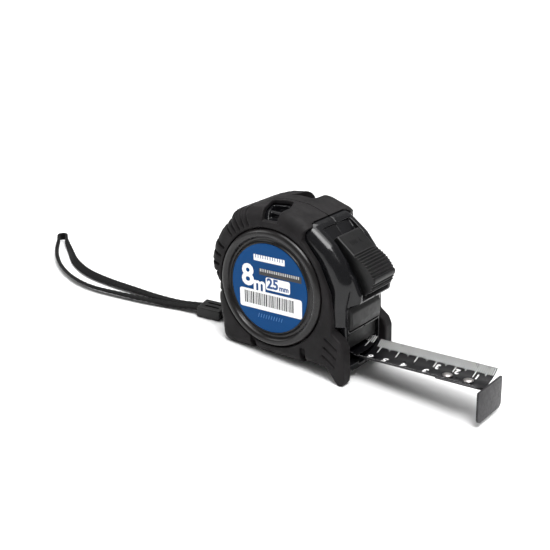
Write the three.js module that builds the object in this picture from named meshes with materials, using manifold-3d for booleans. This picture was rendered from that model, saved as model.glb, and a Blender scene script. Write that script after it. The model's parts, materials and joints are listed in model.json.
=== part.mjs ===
// A pocket tape measure: rubber-gripped case, spring reel, cupped blade, lock and wrist strap.
// Millimetres, +Z up. The case is drawn in its own frame and then stood on its feet:
// case +X runs out along the blade, case z = 0 is the underside, and the reel turns
// about the line x = 0, z = reelHeight. Negative Y is the printed (right) side.

import * as THREE from 'three';
import * as BufferGeometryUtils from 'three/addons/utils/BufferGeometryUtils.js';
import Module from 'manifold-3d';

const wasm = await Module();
wasm.setup();

// ---------------------------------------------------------------- driving sizes

const gap = 0.3; // between pieces that touch
const gripHalfWidth = 22; // rubber side faces
const gripRounding = 6; // of the rubber's outer edges
const caseHalfWidth = gripHalfWidth - 3.5; // plastic side faces, under the rubber
const caseRounding = 6.5;
const caseWall = 2;
const rubberCover = 2.4; // rubber thickness over the plastic at rear and top

const reelHeight = 34.5;
const coilRadius = 26.6; // eight metres of wound blade
const drumRadius = 17.2;
const drumWall = 1.6;
const postRadius = 3.9;

const bladeWidth = 25; // measured flat
const bladeThickness = 0.2;
const bladeCup = 4.7; // depth of the cup across the blade, nearly
const bladeCupRadius = bladeWidth ** 2 / (8 * bladeCup);
const bladeBottom = 2.2; // lowest line of the blade above the case underside
const bladeOut = 63.9; // hook face to the case front, as it stands
const hookHeight = 15;
const hookWidth = bladeWidth - 2;
const hookThickness = 1;
const hookPlay = 1; // the hook slides by its own thickness

const bezelRadius = 29;
const bezelRim = gripHalfWidth + 1.4; // crest of the ring from the middle plane
const labelRadius = bezelRadius - 8;
const labelFace = gripHalfWidth + 0.5;

const earX = 41; // front faces of the ears
const mouthHalf = bladeWidth / 2 + 0.5;
const earInner = mouthHalf + 2.4; // gap between the ears is twice this
const bellyHalf = earInner - gap; // bare plastic between the rubber's lower edges
const footX = 38.7;
const footZ = -6.6;
const footRounding = 2;
const heelX = -24;
const heelZ = 0.5;
const standFlat = 0.35; // rubber flattened where it stands

const bladeStart = earX - 1.5; // where the straight blade begins
const hookX = bladeStart + bladeOut; // inner face of the hook
const mouthX = 35.6; // back of the mouth pocket
const mouthTop = 16.2;
const bladeTravel = 62.1; // how far the blade winds in before the hook meets the jaw
const mouthCup = 0.75; // share of the blade's full cup that it has at the mouth
const bumperBottom = 18;
const bumperTop = 29.6;
const frontWallX = 34.5; // inner face of the front wall

const slideAngle = 47; // of the lock's travel below the horizontal, in degrees
const buttonHalf = 9.3;
const buttonTravel = 6;
const slotHalf = buttonHalf + 1.9;
const slotFloor = 55.5; // distance of the slot floor along the slide's normal
const leverHalf = 4;

const clipGap = 4.6; // between the ring's crest and the belt clip
const clipWidth = 16;
const clipThickness = 1;

const strapThickness = 2.8;

// ---------------------------------------------------------------- solids

function solid(geometry) {
  const bare = geometry.clone();
  bare.deleteAttribute('normal');
  bare.deleteAttribute('uv');
  const merged = BufferGeometryUtils.mergeVertices(bare, 1e-4);
  return new wasm.Manifold(new wasm.Mesh({
    numProp: 3,
    vertProperties: new Float32Array(merged.attributes.position.array),
    triVerts: new Uint32Array(merged.index.array),
  }));
}

function toGeometry(body) {
  const mesh = body.getMesh();
  const geometry = new THREE.BufferGeometry();
  geometry.setAttribute('position', new THREE.BufferAttribute(mesh.vertProperties, 3));
  geometry.setIndex(new THREE.BufferAttribute(mesh.triVerts, 1));
  return geometry;
}

// A closed outline through corners [x, z, radius]. A corner with a radius is rounded by an arc.
function outline(corners) {
  const shape = new THREE.Shape();
  const last = corners.length;
  corners.forEach(([x, z, radius = 0], i) => {
    const corner = new THREE.Vector2(x, z);
    const before = new THREE.Vector2(...corners[(i + last - 1) % last]).sub(corner);
    const after = new THREE.Vector2(...corners[(i + 1) % last]).sub(corner);
    const halfAngle = before.angleTo(after) / 2;
    const reach = Math.min(radius / Math.tan(halfAngle), 0.48 * before.length(), 0.48 * after.length());
    const start = corner.clone().add(before.setLength(reach));
    const end = corner.clone().add(after.setLength(reach));
    if (i === 0) shape.moveTo(start.x, start.y);
    else shape.lineTo(start.x, start.y);
    if (radius > 0) {
      const towards = before.clone().add(after).setLength(reach / Math.cos(halfAngle));
      const middle = corner.clone().add(towards);
      const from = start.clone().sub(middle);
      const to = end.clone().sub(middle);
      shape.absarc(middle.x, middle.y, from.length(), from.angle(), to.angle(), from.cross(to) < 0);
    }
  });
  return shape;
}

function turnToXZ(geometry) {
  return geometry.rotateX(Math.PI / 2);
}

// Extrudes an XZ outline along Y from y0 to y1. A small bevel rounds both edges inside those limits.
function slab(shape, y0, y1, bevel = 0, bevelSegments = 2) {
  const geometry = new THREE.ExtrudeGeometry(shape, {
    depth: y1 - y0 - 2 * bevel,
    bevelEnabled: bevel > 0,
    bevelThickness: bevel,
    bevelSize: bevel,
    bevelOffset: -bevel,
    bevelSegments,
    curveSegments: 2,
  });
  turnToXZ(geometry);
  geometry.translate(0, y1 - bevel, 0);
  return solid(geometry);
}

// A slab across the middle plane whose outer edges are well rounded. Its layers shrink towards
// the reel's axis, so the outline has to be seen whole from there. Grow moves its sides outwards.
function pebble(shape, halfWidth, rounding, grow = 0, arcSteps = 3) {
  const layers = [];
  for (let i = 0; i <= arcSteps; i += 1) {
    const angle = (i / arcSteps) * Math.PI / 2;
    layers.push([rounding * (1 - Math.sin(angle)), halfWidth - rounding * (1 - Math.cos(angle))]);
  }
  layers.push(...layers.map(([inset, y]) => [inset, -y]).reverse());
  const steps = layers.length - 1;
  const geometry = new THREE.ExtrudeGeometry(shape, {
    depth: steps, steps, bevelEnabled: false, curveSegments: 1,
  });
  const position = geometry.attributes.position;
  const point = new THREE.Vector2();
  for (let i = 0; i < position.count; i += 1) {
    const [inset, y] = layers[Math.round(position.getZ(i))];
    point.set(position.getX(i), position.getY(i) - reelHeight);
    point.setLength(point.length() + grow - inset);
    position.setXYZ(i, point.x, point.y + reelHeight, -y);
  }
  turnToXZ(geometry);
  return solid(geometry);
}

function box(x0, x1, y0, y1, z0, z1) {
  const geometry = new THREE.BoxGeometry(x1 - x0, y1 - y0, z1 - z0);
  geometry.translate((x0 + x1) / 2, (y0 + y1) / 2, (z0 + z1) / 2);
  return solid(geometry);
}

// A cylinder along Y.
function drum(radius, y0, y1, x, z, segments = 20) {
  const geometry = new THREE.CylinderGeometry(radius, radius, y1 - y0, segments);
  geometry.translate(x, (y0 + y1) / 2, z);
  return solid(geometry);
}

// Turns a [radius, y] profile about the reel's axis line, or about another line along Y.
function turned(profile, segments, x = 0, z = reelHeight) {
  const points = profile.map(([r, y]) => new THREE.Vector2(r, y));
  const geometry = new THREE.LatheGeometry(points, segments);
  geometry.translate(x, 0, z);
  return solid(geometry);
}

// Both mirror images across the middle plane.
function bothSides(body) {
  return body.add(body.mirror([0, 1, 0]));
}

// ---------------------------------------------------------------- case outlines

const rearFoot = [
  [-31, heelZ, 8],
  [-31.6, 9],
  [-33.8, 22, 2],
  [-33.2, 30.5, 3],
  [-36.8, 38, 4],
  [-37.2, 43, 4],
  [-35, 51, 4],
  [-30.8, 57.8],
];
const topBlock = [
  [-24.6, 64.8, 1.5],
  [-22.8, 68.3, 1.5],
  [-14.5, 71, 4],
  [-3, 72.2, 8],
  [8, 71.4, 8],
  [18.5, 67.8, 4],
  [22.5, 65],
];
const bellyLine = [
  [34, 1],
  [18.6, 0.2],
  [16.8, -0.7, 2],
  [5, -0.6, 6],
  [-7, -0.3, 3],
  [-9.8, 0.3],
];

const gripOutline = outline([...rearFoot, ...topBlock, [40, 48], [40, 20], ...bellyLine]);

// Everything behind this line is rubber, everything in front of it is bare plastic.
const gripFront = outline([
  [23, 80],
  [21, 66.5],
  [18.6, 64.2, 2],
  [18.4, 60.8, 2],
  [26.6, 51, 8],
  [33, 37.4, 8],
  [34.5, 24, 4],
  [34.3, -10],
  [-60, -10],
  [-60, 80],
]);

const earOutline = outline([
  [24, 2],
  [31.4, 1.6, 2],
  [36, -4.6, 2],
  [footX, footZ - footRounding * 0.3, footRounding], // its rounded tip ends at footZ
  [earX, -4.6, 1.5],
  [earX, 11.5, 2.5],
  [39.4, 15.2, 2.5],
  [34, 19.3, 2],
  [28, 20.4],
  [24, 20],
]);

const caseCorners = [
  [-23, 0.8, 3],
  [-28.8, 5.2, 4],
  [-29.6, 12],
  [-33.8 + rubberCover, 22, 2],
  [-33.2 + rubberCover, 30.5, 3],
  [-36.8 + rubberCover, 38, 4],
  [-37.2 + rubberCover, 43, 4],
  [-35 + rubberCover, 50, 4],
  [-21.6, 62.6, 3],
  [-20, 66.4, 2],
  [-14, 71 - rubberCover, 4],
  [-3, 72.2 - rubberCover, 8],
  [8, 71.2 - rubberCover, 8],
  [20.4, 66.8, 4],
  [31, 58.8, 14],
  [37, 51.2, 16],
  [41.6, 41.5, 14],
  [38.6, 29, 4],
  [38.6, 0.8, 2],
];
const caseOutline = outline(caseCorners);
const hollowOutline = outline(caseCorners.map(([x, z]) => [x, z]));

// ---------------------------------------------------------------- the lock's slanting frame

const slideDown = new THREE.Vector2(1, 0).rotateAround(
  new THREE.Vector2(),
  -THREE.MathUtils.degToRad(slideAngle),
);
const slideNormal = new THREE.Vector2(-slideDown.y, slideDown.x);

// [s, n, radius] along the slide and its outward normal become [x, z, radius].
function onSlide(corners) {
  return corners.map(([s, n, radius = 0]) => [
    slideDown.x * s + slideNormal.x * n,
    slideDown.y * s + slideNormal.y * n,
    radius,
  ]);
}

const buttonRear = -25;
const buttonFront = 4.8;
const heelStep = -17; // the button is thinner behind this
const stemRear = -9;
const stemFront = -3;

function buttonSolid() {
  const body = slab(outline(onSlide([
    [heelStep, slotFloor + 0.4],
    [heelStep, slotFloor + 4.4],
    [buttonRear, slotFloor + 4.7],
    [buttonRear, slotFloor + 8, 1],
    [-11, slotFloor + 11, 4],
    [-3, slotFloor + 12.2, 4],
    [2.4, slotFloor + 11, 3],
    [buttonFront, slotFloor + 6, 3],
    [buttonFront - 0.6, slotFloor + 0.4, 1],
  ])), -buttonHalf, buttonHalf, 0.8);
  return ribs().reduce((left, rib) => left.subtract(rib), body);
}

// Grooves across the lower half of the button, for the thumb.
function ribs() {
  const count = 8;
  const pitch = 2.2;
  const cuts = [];
  for (let i = 0; i < count; i += 1) {
    const s = -10.5 + i * pitch;
    const n = slotFloor + 12.3 - 0.036 * (s + 4) ** 2;
    cuts.push(slab(outline(onSlide([
      [s - 0.45, n + 1],
      [s - 0.45, n - 0.9],
      [s + 0.45, n - 0.9],
      [s + 0.45, n + 1],
    ])), -buttonHalf - 1, buttonHalf + 1));
  }
  return cuts;
}

// The slot that the button slides in, with a shallow step behind it.
function slotCut() {
  return slab(outline(onSlide([
    [6.4, slotFloor],
    [heelStep - buttonTravel - 0.6, slotFloor],
    [heelStep - buttonTravel - 1, slotFloor + 4.1],
    [buttonRear - buttonTravel - 0.6, slotFloor + 4.3],
    [buttonRear - buttonTravel - 2, slotFloor + 30],
    [6.4, slotFloor + 30],
  ])), -slotHalf, slotHalf);
}

function slotWalls() {
  return slab(outline(onSlide([
    [9, slotFloor - 1.6],
    [buttonRear - buttonTravel - 4, slotFloor - 1.6],
    [buttonRear - buttonTravel - 4, slotFloor + 14],
    [9, slotFloor + 14],
  ])), -slotHalf - 1.8, slotHalf + 1.8);
}

function stemSlot() {
  return slab(outline(onSlide([
    [stemFront + 0.6, slotFloor + 3],
    [stemFront + 0.6, slotFloor - 4],
    [stemRear - buttonTravel - 0.6, slotFloor - 4],
    [stemRear - buttonTravel - 0.6, slotFloor + 3],
  ])), -leverHalf - 0.4, leverHalf + 0.4);
}

// The raised rim round the lower end of the slot.
function collar() {
  return slab(outline([
    [33, bumperTop - 0.8],
    [39.4, bumperTop + 0.4, 1],
    [44.4, bumperTop + 3, 2],
    [45, 36.6, 2],
    [41.4, 44.4, 3],
    [37, 49.5],
    [30, 49],
    [30, 30],
  ]), -slotHalf - 2.6, slotHalf + 2.6, 0.9);
}

// ---------------------------------------------------------------- case

const screwSpots = [[14, 63.6], [-18, 61], [-22.6, 12]];
const bossRadius = 3.2;
const screwRadius = 1.3;
const pinX = -27;
const pinZ = 12.5;
const pinRadius = 1.2;

const postHalf = caseHalfWidth - caseWall - 0.5;

// The plastic body as one closed block, grown by a clearance when it is cut out of the rubber.
function caseBlock(grow) {
  const half = caseHalfWidth + grow;
  const body = pebble(caseOutline, half, caseRounding, grow);
  const beside = box(33.8 + grow, 60, earInner - gap + grow, 40, -20, 20.6 - grow);
  return body.subtract(bothSides(beside));
}

// Keel and lower jaw under the blade, between the feet.
function jaw() {
  return slab(outline([
    [12, 1],
    [16, -1],
    [29, -1, 2],
    [33, -2.4, 2],
    [39.4, -2.4, 1.2],
    [40, 1.9],
    [39, 2.6],
    [12, 2.6],
  ]), -earInner + 0.6, earInner - 0.6, 0.6, 1);
}

// A slanting window through the top edge of each grip, with the plastic showing inside it.
// The left one stops short of the middle.
function windowCut(inset, floor) {
  const shape = new THREE.Shape([
    new THREE.Vector2(-11.5 + inset, -2.4 - inset),
    new THREE.Vector2(0.6 - inset, -2.4 - inset),
    new THREE.Vector2(4.6 - inset, -11),
    new THREE.Vector2(4.8 - inset, -24 + 3 * inset),
    new THREE.Vector2(-2.6 + inset, -24 + 3 * inset),
  ]);
  const geometry = new THREE.ExtrudeGeometry(shape, { depth: 30, bevelEnabled: false });
  geometry.translate(0, 0, floor);
  const right = solid(geometry);
  const left = right.mirror([0, 1, 0]).intersect(box(-60, 60, 8.5 + inset, 60, 0, 120));
  return right.add(left);
}

function windowBar() {
  const bar = slab(outline([[-12, 66], [6, 66], [6, 68.6, 1], [-12, 68.6, 1]]), -13, -9.5, 0.6);
  return bothSides(bar);
}

function caseShell() {
  const block = caseBlock(0).add(collar()).add(jaw());
  const cavity = pebble(hollowOutline, caseHalfWidth - caseWall, caseRounding - caseWall, -caseWall, 2)
    .subtract(box(frontWallX, 60, -30, 30, -20, 30.5));
  const bladeWay = box(bladeStart - bladeTravel - 0.8, frontWallX + 3, -mouthHalf, mouthHalf, 2, 8);
  const hookWay = box(15, 45, -6.4, 6.4, 0.3, 4);
  const mouth = box(mouthX, 60, -mouthHalf, mouthHalf, 1.9, mouthTop);
  const bumperSeat = box(36.2, 60, -mouthHalf + 0.1, mouthHalf - 0.1, bumperBottom - gap, bumperTop + gap);
  const anchorBlock = box(-31, -21.5, -7.4, 7.4, 8.6, 17.4);
  const anchorNotch = box(-45, -24.6, -4.4, 4.4, 9.6, 15.4);

  let shell = block.subtract(cavity)
    .add(block.intersect(slotWalls()))
    .add(block.intersect(windowCut(-1.2, 64.4)))
    .add(block.intersect(anchorBlock));
  for (const [x, z] of screwSpots) {
    shell = shell.add(block.intersect(drum(bossRadius, -17, 17, x, z, 12)));
  }
  shell = shell.subtract(windowCut(1.2, 65.8)).add(block.intersect(windowBar()));
  for (const [x, z] of screwSpots) {
    shell = shell.subtract(drum(screwRadius + gap, -12, 30, x, z, 12))
      .subtract(drum(2.6 + gap, 15, 30, x, z, 16));
  }
  return shell
    .subtract(slotCut())
    .subtract(stemSlot())
    .subtract(bladeWay)
    .subtract(hookWay)
    .subtract(mouth)
    .subtract(bumperSeat)
    .subtract(anchorNotch)
    .subtract(drum(pinRadius + gap, -6.4, 6.4, pinX, pinZ, 12))
    .subtract(drum(postRadius + gap, -postHalf - 0.2, postHalf + 0.2, 0, reelHeight, 24))
    .subtract(drum(1.6 + gap, 10, 30, 0, reelHeight, 12));
}

// ---------------------------------------------------------------- rubber grips

function rearGroove() {
  return slab(outline([[-27.8, 67.4], [-34, 60.8], [-26.6, 54.6], [-20.4, 61.6]]), -17.8, 17.8);
}

// Two notches on each side that part the heel, the belly and the foot. They follow the rounded edge.
function bellyNotches() {
  const depth = 1.6;
  const kept = pebble(gripOutline, gripHalfWidth - depth, gripRounding, -depth, 4);
  const notches = box(-12.6, -9.6, 13, 40, -20, 8).add(box(16.6, 19.6, 13, 40, -20, 8));
  return bothSides(notches).subtract(kept);
}

function gripPair() {
  const body = pebble(gripOutline, gripHalfWidth, gripRounding, 0, 4)
    .intersect(slab(gripFront, -40, 40));
  const ears = bothSides(slab(earOutline, earInner, gripHalfWidth - 0.2, 0.8));
  const floorSlope = Math.atan2(heelZ - footZ, footX - heelX);
  const floor = new THREE.BoxGeometry(300, 100, 40);
  floor.translate(0, 0, -20 + standFlat);
  floor.rotateY(floorSlope);
  floor.translate(footX, 0, footZ);

  let rubber = body.add(ears)
    .subtract(caseBlock(0.25))
    .subtract(box(-26, 60, -bellyHalf, bellyHalf, -20, 3.4))
    .subtract(box(33.5, 60, -earInner, earInner, -20, 22))
    .subtract(bothSides(drum(bezelRadius + gap, caseHalfWidth - 0.5, 40, 0, reelHeight, 48)))
    .subtract(windowCut(0, 66.6))
    .subtract(rearGroove())
    .subtract(bellyNotches())
    .subtract(box(-60, -24, -5, 5, 9, 16))
    .subtract(solid(floor));
  for (const [x, z] of screwSpots) {
    rubber = rubber.subtract(drum(2.6 + gap, 10, 40, x, z, 16));
  }
  return rubber;
}

function half(body, side) {
  const y = gap / 2;
  return body.intersect(side < 0 ? box(-90, 200, -90, -y, -90, 150) : box(-90, 200, y, 90, -90, 150));
}

// ---------------------------------------------------------------- rings and printed discs

function bezel(side, holeRadius) {
  const seat = caseHalfWidth + gap;
  const profile = [
    [holeRadius, labelFace - 1.9],
    [24, labelFace - 1.9],
    [25.2, seat],
    [bezelRadius, seat],
    [bezelRadius, labelFace - 1.9],
    [28.5, labelFace],
    [27.2, bezelRim],
    [25.6, bezelRim - 0.2],
    [24.2, labelFace - 0.8],
    [21.6, labelFace - 0.6],
    [holeRadius, labelFace - 0.6],
  ].map(([r, y]) => [r, y * side]);
  return turnedRing(profile, side);
}

// A closed profile must run the other way round when it is mirrored.
function turnedRing(profile, side, segments = 36) {
  const way = side > 0 ? profile : [...profile].reverse();
  return turned([...way, way[0]], segments);
}

function label(side, holeRadius) {
  const back = labelFace - 0.3;
  const profile = [[holeRadius, back], [labelRadius, back], [labelRadius, labelFace], [holeRadius, labelFace]];
  return turnedRing(profile.map(([r, y]) => [r, y * side]), side, 28);
}

// ---------------------------------------------------------------- reel

const reelHalf = bladeWidth / 2 + 0.4;

function reelDrum() {
  return turned([
    [postRadius + gap, reelHalf - 3.4],
    [6.2, reelHalf - 3.4],
    [6.2, reelHalf - 0.8],
    [drumRadius - drumWall, reelHalf - 0.8],
    [drumRadius - drumWall, -reelHalf + 1.2],
    [drumRadius, -reelHalf + 1.2],
    [drumRadius, reelHalf],
    [postRadius + gap, reelHalf],
    [postRadius + gap, reelHalf - 3.4],
  ], 28);
}

function drumCover() {
  const outer = drumRadius - 0.2;
  return turned([
    [postRadius + gap, -reelHalf],
    [outer, -reelHalf],
    [outer, -reelHalf + 0.9],
    [postRadius + gap, -reelHalf + 0.9],
    [postRadius + gap, -reelHalf],
  ], 24);
}

function bladeCoil() {
  const inner = drumRadius + gap;
  const y = bladeWidth / 2;
  return turned([[inner, -y], [coilRadius, -y], [coilRadius, y], [inner, y], [inner, -y]], 40);
}

// Spiral strip between the post and the drum's wall.
function mainspring() {
  const turns = 4;
  const steps = 64;
  const strip = 0.5;
  const inner = postRadius + 1.4;
  const outer = drumRadius - drumWall - 1;
  const side = (offset) => Array.from({ length: steps + 1 }, (_, i) => {
    const angle = (i / steps) * turns * 2 * Math.PI;
    const radius = inner + (outer - inner) * (i / steps) + offset;
    return new THREE.Vector2(radius * Math.cos(angle), reelHeight + radius * Math.sin(angle));
  });
  const shape = new THREE.Shape([...side(strip), ...side(0).reverse()]);
  return slab(shape, -8.8, 8.8);
}

function centrePost() {
  return turned([
    [0, -postHalf],
    [postRadius, -postHalf],
    [postRadius, postHalf],
    [1.3 + gap, postHalf],
    [1.3 + gap, 6],
    [0, 6],
  ], 16);
}

// ---------------------------------------------------------------- blade

// The section of the blade at one place: flat where cup is 0, fully cupped where it is 1.
function bladeSection(cup, lowest) {
  const steps = 10;
  const radius = bladeCupRadius / Math.max(cup, 0.02);
  const span = bladeWidth / radius;
  const arc = (r) => Array.from({ length: steps + 1 }, (_, i) => {
    const angle = -span / 2 + (span * i) / steps;
    return [r * Math.sin(angle), lowest + radius - r * Math.cos(angle)];
  });
  return [...arc(radius), ...arc(radius - bladeThickness).reverse()];
}

// Skins equal rings of points into one closed strip.
function loft(rings) {
  const count = rings[0].length;
  const positions = rings.flat(2);
  const index = [];
  for (let i = 0; i + 1 < rings.length; i += 1) {
    for (let j = 0; j < count; j += 1) {
      const a = i * count + j;
      const b = i * count + (j + 1) % count;
      index.push(a, b, b + count, a, b + count, a + count);
    }
  }
  const half = count / 2;
  const end = (rings.length - 1) * count;
  for (let j = 0; j + 1 < half; j += 1) {
    const k = count - 1 - j;
    index.push(j, k, k - 1, j, k - 1, j + 1);
    index.push(end + j, end + k - 1, end + k, end + j, end + j + 1, end + k - 1);
  }
  const geometry = new THREE.BufferGeometry();
  geometry.setAttribute('position', new THREE.Float32BufferAttribute(positions, 3));
  geometry.setIndex(index);
  return solid(geometry);
}

const rivetSpots = [hookX - 10, hookX - 20.5];
const rivetRadius = 1.2;
const rivetHead = 2.4;

function bladeStrip() {
  const ring = (x) => bladeSection(1, bladeBottom).map(([y, z]) => [x, y, z]);
  const strip = loft([ring(bladeStart), ring(hookX - hookPlay - gap)]);
  return rivetSpots.reduce((left, x) => left.subtract(upright(rivetRadius + gap, x, 0, 10)), strip);
}

// The blade between the coil and the mouth: it leaves the coil flat and cups towards the mouth.
function bladeRun() {
  const steps = 8;
  const length = bladeStart - 0.5;
  const edge = bladeBottom + bladeThickness + 0.35 + bladeSag(1);
  return loft(Array.from({ length: steps + 1 }, (_, i) => {
    const t = i / steps;
    const cup = mouthCup * t * t;
    return bladeSection(cup, edge - bladeSag(cup)).map(([y, z]) => [t * length, y, z]);
  }));
}

function bladeSag(cup) {
  const radius = bladeCupRadius / Math.max(cup, 0.02);
  return radius * (1 - Math.cos(bladeWidth / radius / 2));
}

// An upright cylinder.
function upright(radius, x, z0, z1, segments = 16) {
  const geometry = new THREE.CylinderGeometry(radius, radius, z1 - z0, segments);
  geometry.rotateX(Math.PI / 2);
  geometry.translate(x, 0, (z0 + z1) / 2);
  return solid(geometry);
}

const tabTop = bladeBottom - gap;
const tabThickness = 0.6;

// Domed above the blade, flat under the hook's tab.
function rivet(x) {
  const under = tabTop - tabThickness - gap;
  const top = bladeBottom + bladeThickness + gap;
  const points = [
    [0, under - 0.4],
    [rivetHead - 0.4, under - 0.4],
    [rivetHead - 0.4, under],
    [rivetRadius, under],
    [rivetRadius, top],
    [rivetHead, top],
    [rivetHead * 0.8, top + 0.5],
    [rivetHead * 0.4, top + 0.75],
    [0, top + 0.8],
  ].map(([r, z]) => new THREE.Vector2(r, z));
  const geometry = new THREE.LatheGeometry(points, 10);
  geometry.rotateX(Math.PI / 2);
  geometry.translate(x, 0, 0);
  return solid(geometry);
}

function endHook() {
  const top = bladeBottom + 1.45;
  const face = new THREE.Shape();
  const halfWidth = hookWidth / 2;
  const corner = 2;
  face.moveTo(-halfWidth, top);
  face.lineTo(-halfWidth, top - hookHeight + corner);
  face.quadraticCurveTo(-halfWidth, top - hookHeight, -halfWidth + corner, top - hookHeight);
  face.lineTo(halfWidth - corner, top - hookHeight);
  face.quadraticCurveTo(halfWidth, top - hookHeight, halfWidth, top - hookHeight + corner);
  face.lineTo(halfWidth, top);
  const plate = new THREE.ExtrudeGeometry(face, {
    depth: hookThickness,
    bevelEnabled: false,
    curveSegments: 4,
  });
  plate.rotateX(Math.PI / 2);
  plate.rotateZ(Math.PI / 2);
  plate.translate(hookX, 0, 0);
  const tab = box(hookX - 25, hookX + 0.5, -5, 5, tabTop - tabThickness, tabTop);
  const slots = rivetSpots.map((x) => {
    const radius = rivetRadius + 0.2;
    return upright(radius, x, 0, 6).add(upright(radius, x + hookPlay, 0, 6))
      .add(box(x, x + hookPlay, -radius, radius, 0, 6));
  });
  return slots.reduce((left, slot) => left.subtract(slot), solid(plate).add(tab));
}

// ---------------------------------------------------------------- lock inside

function lockLever() {
  const stem = onSlide([
    [stemRear, slotFloor - 1.6],
    [stemRear, slotFloor + 0.1],
    [stemFront, slotFloor + 0.1],
    [stemFront, slotFloor - 1.6],
  ]);
  return slab(outline([
    ...stem,
    [34.1, 34],
    [34.1, 18],
    [31.4, 13],
    [31.4, 8.4],
    [27, 8.4],
    [27, 12],
    [30.4, 18.4],
    [31.9, 24],
    [31.9, 34],
  ]), -leverHalf, leverHalf);
}

function brakePad() {
  return box(27, 31.4, -leverHalf, leverHalf, 6.2, 8.4 - gap);
}

// ---------------------------------------------------------------- small pieces

function noseBumper() {
  return slab(outline([
    [36.5, bumperBottom],
    [39, bumperBottom, 1],
    [39.8, bumperBottom + 3.4, 2],
    [39.8, bumperTop - 2.9, 2],
    [38.4, bumperTop, 1],
    [36.5, bumperTop],
  ]), -mouthHalf + 0.4, mouthHalf - 0.4, 0.8);
}

function bladeGuide() {
  return box(mouthX + gap, mouthX + 1.4, -mouthHalf + 0.4, mouthHalf - 0.4, 8.4, mouthTop - 0.4);
}

function caseScrew(x, z) {
  return turned([
    [0, -11],
    [screwRadius, -11],
    [screwRadius, 15.3],
    [2.6, 15.3],
    [2.4, 17],
    [0, 17.4],
  ], 12, x, z);
}

function anchorPin() {
  return drum(pinRadius, -6.1, 6.1, pinX, pinZ, 12);
}

const clipFace = bezelRim + clipGap;

// A spring-steel strip: screwed down at the ring's middle, stepping out, then hanging down.
function beltClip() {
  const back = labelFace + gap;
  const shape = new THREE.Shape([
    [back, reelHeight + 9],
    [back, reelHeight - 8],
    [back + clipThickness, reelHeight - 8],
    [back + clipThickness, reelHeight + 8],
    [clipFace, reelHeight + 11],
    [clipFace, reelHeight - 19],
    [clipFace + 1.6, reelHeight - 24],
    [clipFace + 2.4, reelHeight - 24],
    [clipFace + clipThickness, reelHeight - 18],
    [clipFace + clipThickness, reelHeight + 11.6],
    [clipFace, reelHeight + 12.2],
  ].map(([y, z]) => new THREE.Vector2(y, z)));
  const geometry = new THREE.ExtrudeGeometry(shape, { depth: clipWidth, bevelEnabled: false });
  geometry.rotateX(Math.PI / 2);
  geometry.rotateZ(Math.PI / 2);
  geometry.translate(-clipWidth / 2, 0, 0);
  return solid(geometry)
    .subtract(drum(1.6 + gap, labelFace - 1, labelFace + 3, 0, reelHeight, 12))
    .subtract(drum(3.4, clipFace - 1, 40, 0, reelHeight, 16));
}

function clipScrew() {
  const seat = labelFace + gap + clipThickness + gap;
  return turned([
    [0, 7],
    [1.3, 7],
    [1.3, seat],
    [2.9, seat],
    [2.6, seat + 1],
    [0, seat + 1.3],
  ], 12);
}

// ---------------------------------------------------------------- wrist strap, on the ground

// Points where the strap lies, from the near side of the anchor pin round the loop and back:
// X and Y from the pin, Z from the ground.
const strapPoints = [
  [-6.6, -1.7, 10.6],
  [-10.6, -3.1, 6.6],
  [-16.1, -4.7, 3.2],
  [-30.1, -8.3, 2.9],
  [-41.1, -11.5, 1.6],
  [-55.1, -17.1, 1.6],
  [-71.1, -22, 1.6],
  [-90.1, -26.1, 1.6],
  [-106.1, -23.9, 1.6],
  [-122.1, -16.9, 1.6],
  [-136.1, -6.5, 1.6],
  [-146.1, 4, 2.2],
  [-150.5, 9.1, 2.6],
  [-148.5, 11.9, 2.6],
  [-143.7, 8.1, 2.2],
  [-132.1, 0.1, 1.6],
  [-118.1, -9.1, 1.6],
  [-103.1, -14.3, 1.6],
  [-88.1, -14.9, 1.6],
  [-71.1, -13.1, 1.6],
  [-55.1, -11.1, 1.6],
  [-41.1, -7.3, 1.6],
  [-30.1, -4.1, 2.9],
  [-16.1, -0.5, 3.2],
  [-10.6, 1.1, 6.6],
  [-6.6, 2.7, 10.6],
];

const sliderSpot = [-23.1, -4.4, 3];
const sliderTurn = 14.5; // degrees

function strapSolid() {
  const path = new THREE.CatmullRomCurve3(strapPoints.map((p) => new THREE.Vector3(...p)));
  const ring = new THREE.Shape();
  ring.absarc(0, 0, strapThickness / 2, 0, 2 * Math.PI);
  return solid(new THREE.ExtrudeGeometry(ring, {
    steps: 52,
    extrudePath: path,
    curveSegments: 4,
    bevelEnabled: false,
  }));
}

function strapSlider() {
  const bodyShape = outline([[-6.5, -2.8, 1], [6.5, -2.8, 1], [6.5, 2.8, 1], [-6.5, 2.8, 1]]);
  return slab(bodyShape, -5.8, 5.8, 0.6, 1)
    .subtract(box(-10, 10, -4, 4, -1.8, 1.9))
    .subtract(bothSides(box(-3.4, 4.2, 1.2, 2.6, 1, 4)));
}

// ---------------------------------------------------------------- scene

const looks = {
  abs: { color: 0x101012, roughness: 0.25, metalness: 0 },
  rubber: { color: 0x2b292b, roughness: 0.75, metalness: 0 },
  bezel: { color: 0x1d1b1b, roughness: 0.3, metalness: 0 },
  label: { color: 0x014b8c, roughness: 0.4, metalness: 0 },
  button: { color: 0x171718, roughness: 0.45, metalness: 0 },
  nylon: { color: 0x3a3a3c, roughness: 0.6, metalness: 0 },
  blade: { color: 0x0c0c0e, roughness: 0.35, metalness: 0.2 },
  steel: { color: 0xb4b4b6, roughness: 0.3, metalness: 1 },
  blackSteel: { color: 0x222124, roughness: 0.45, metalness: 0.6 },
  webbing: { color: 0x0a0a0a, roughness: 0.9, metalness: 0 },
};

const group = new THREE.Group();
const standing = new THREE.Group(); // the case frame, tipped back onto feet and heel
const ground = new THREE.Group();
group.add(standing, ground);

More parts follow.
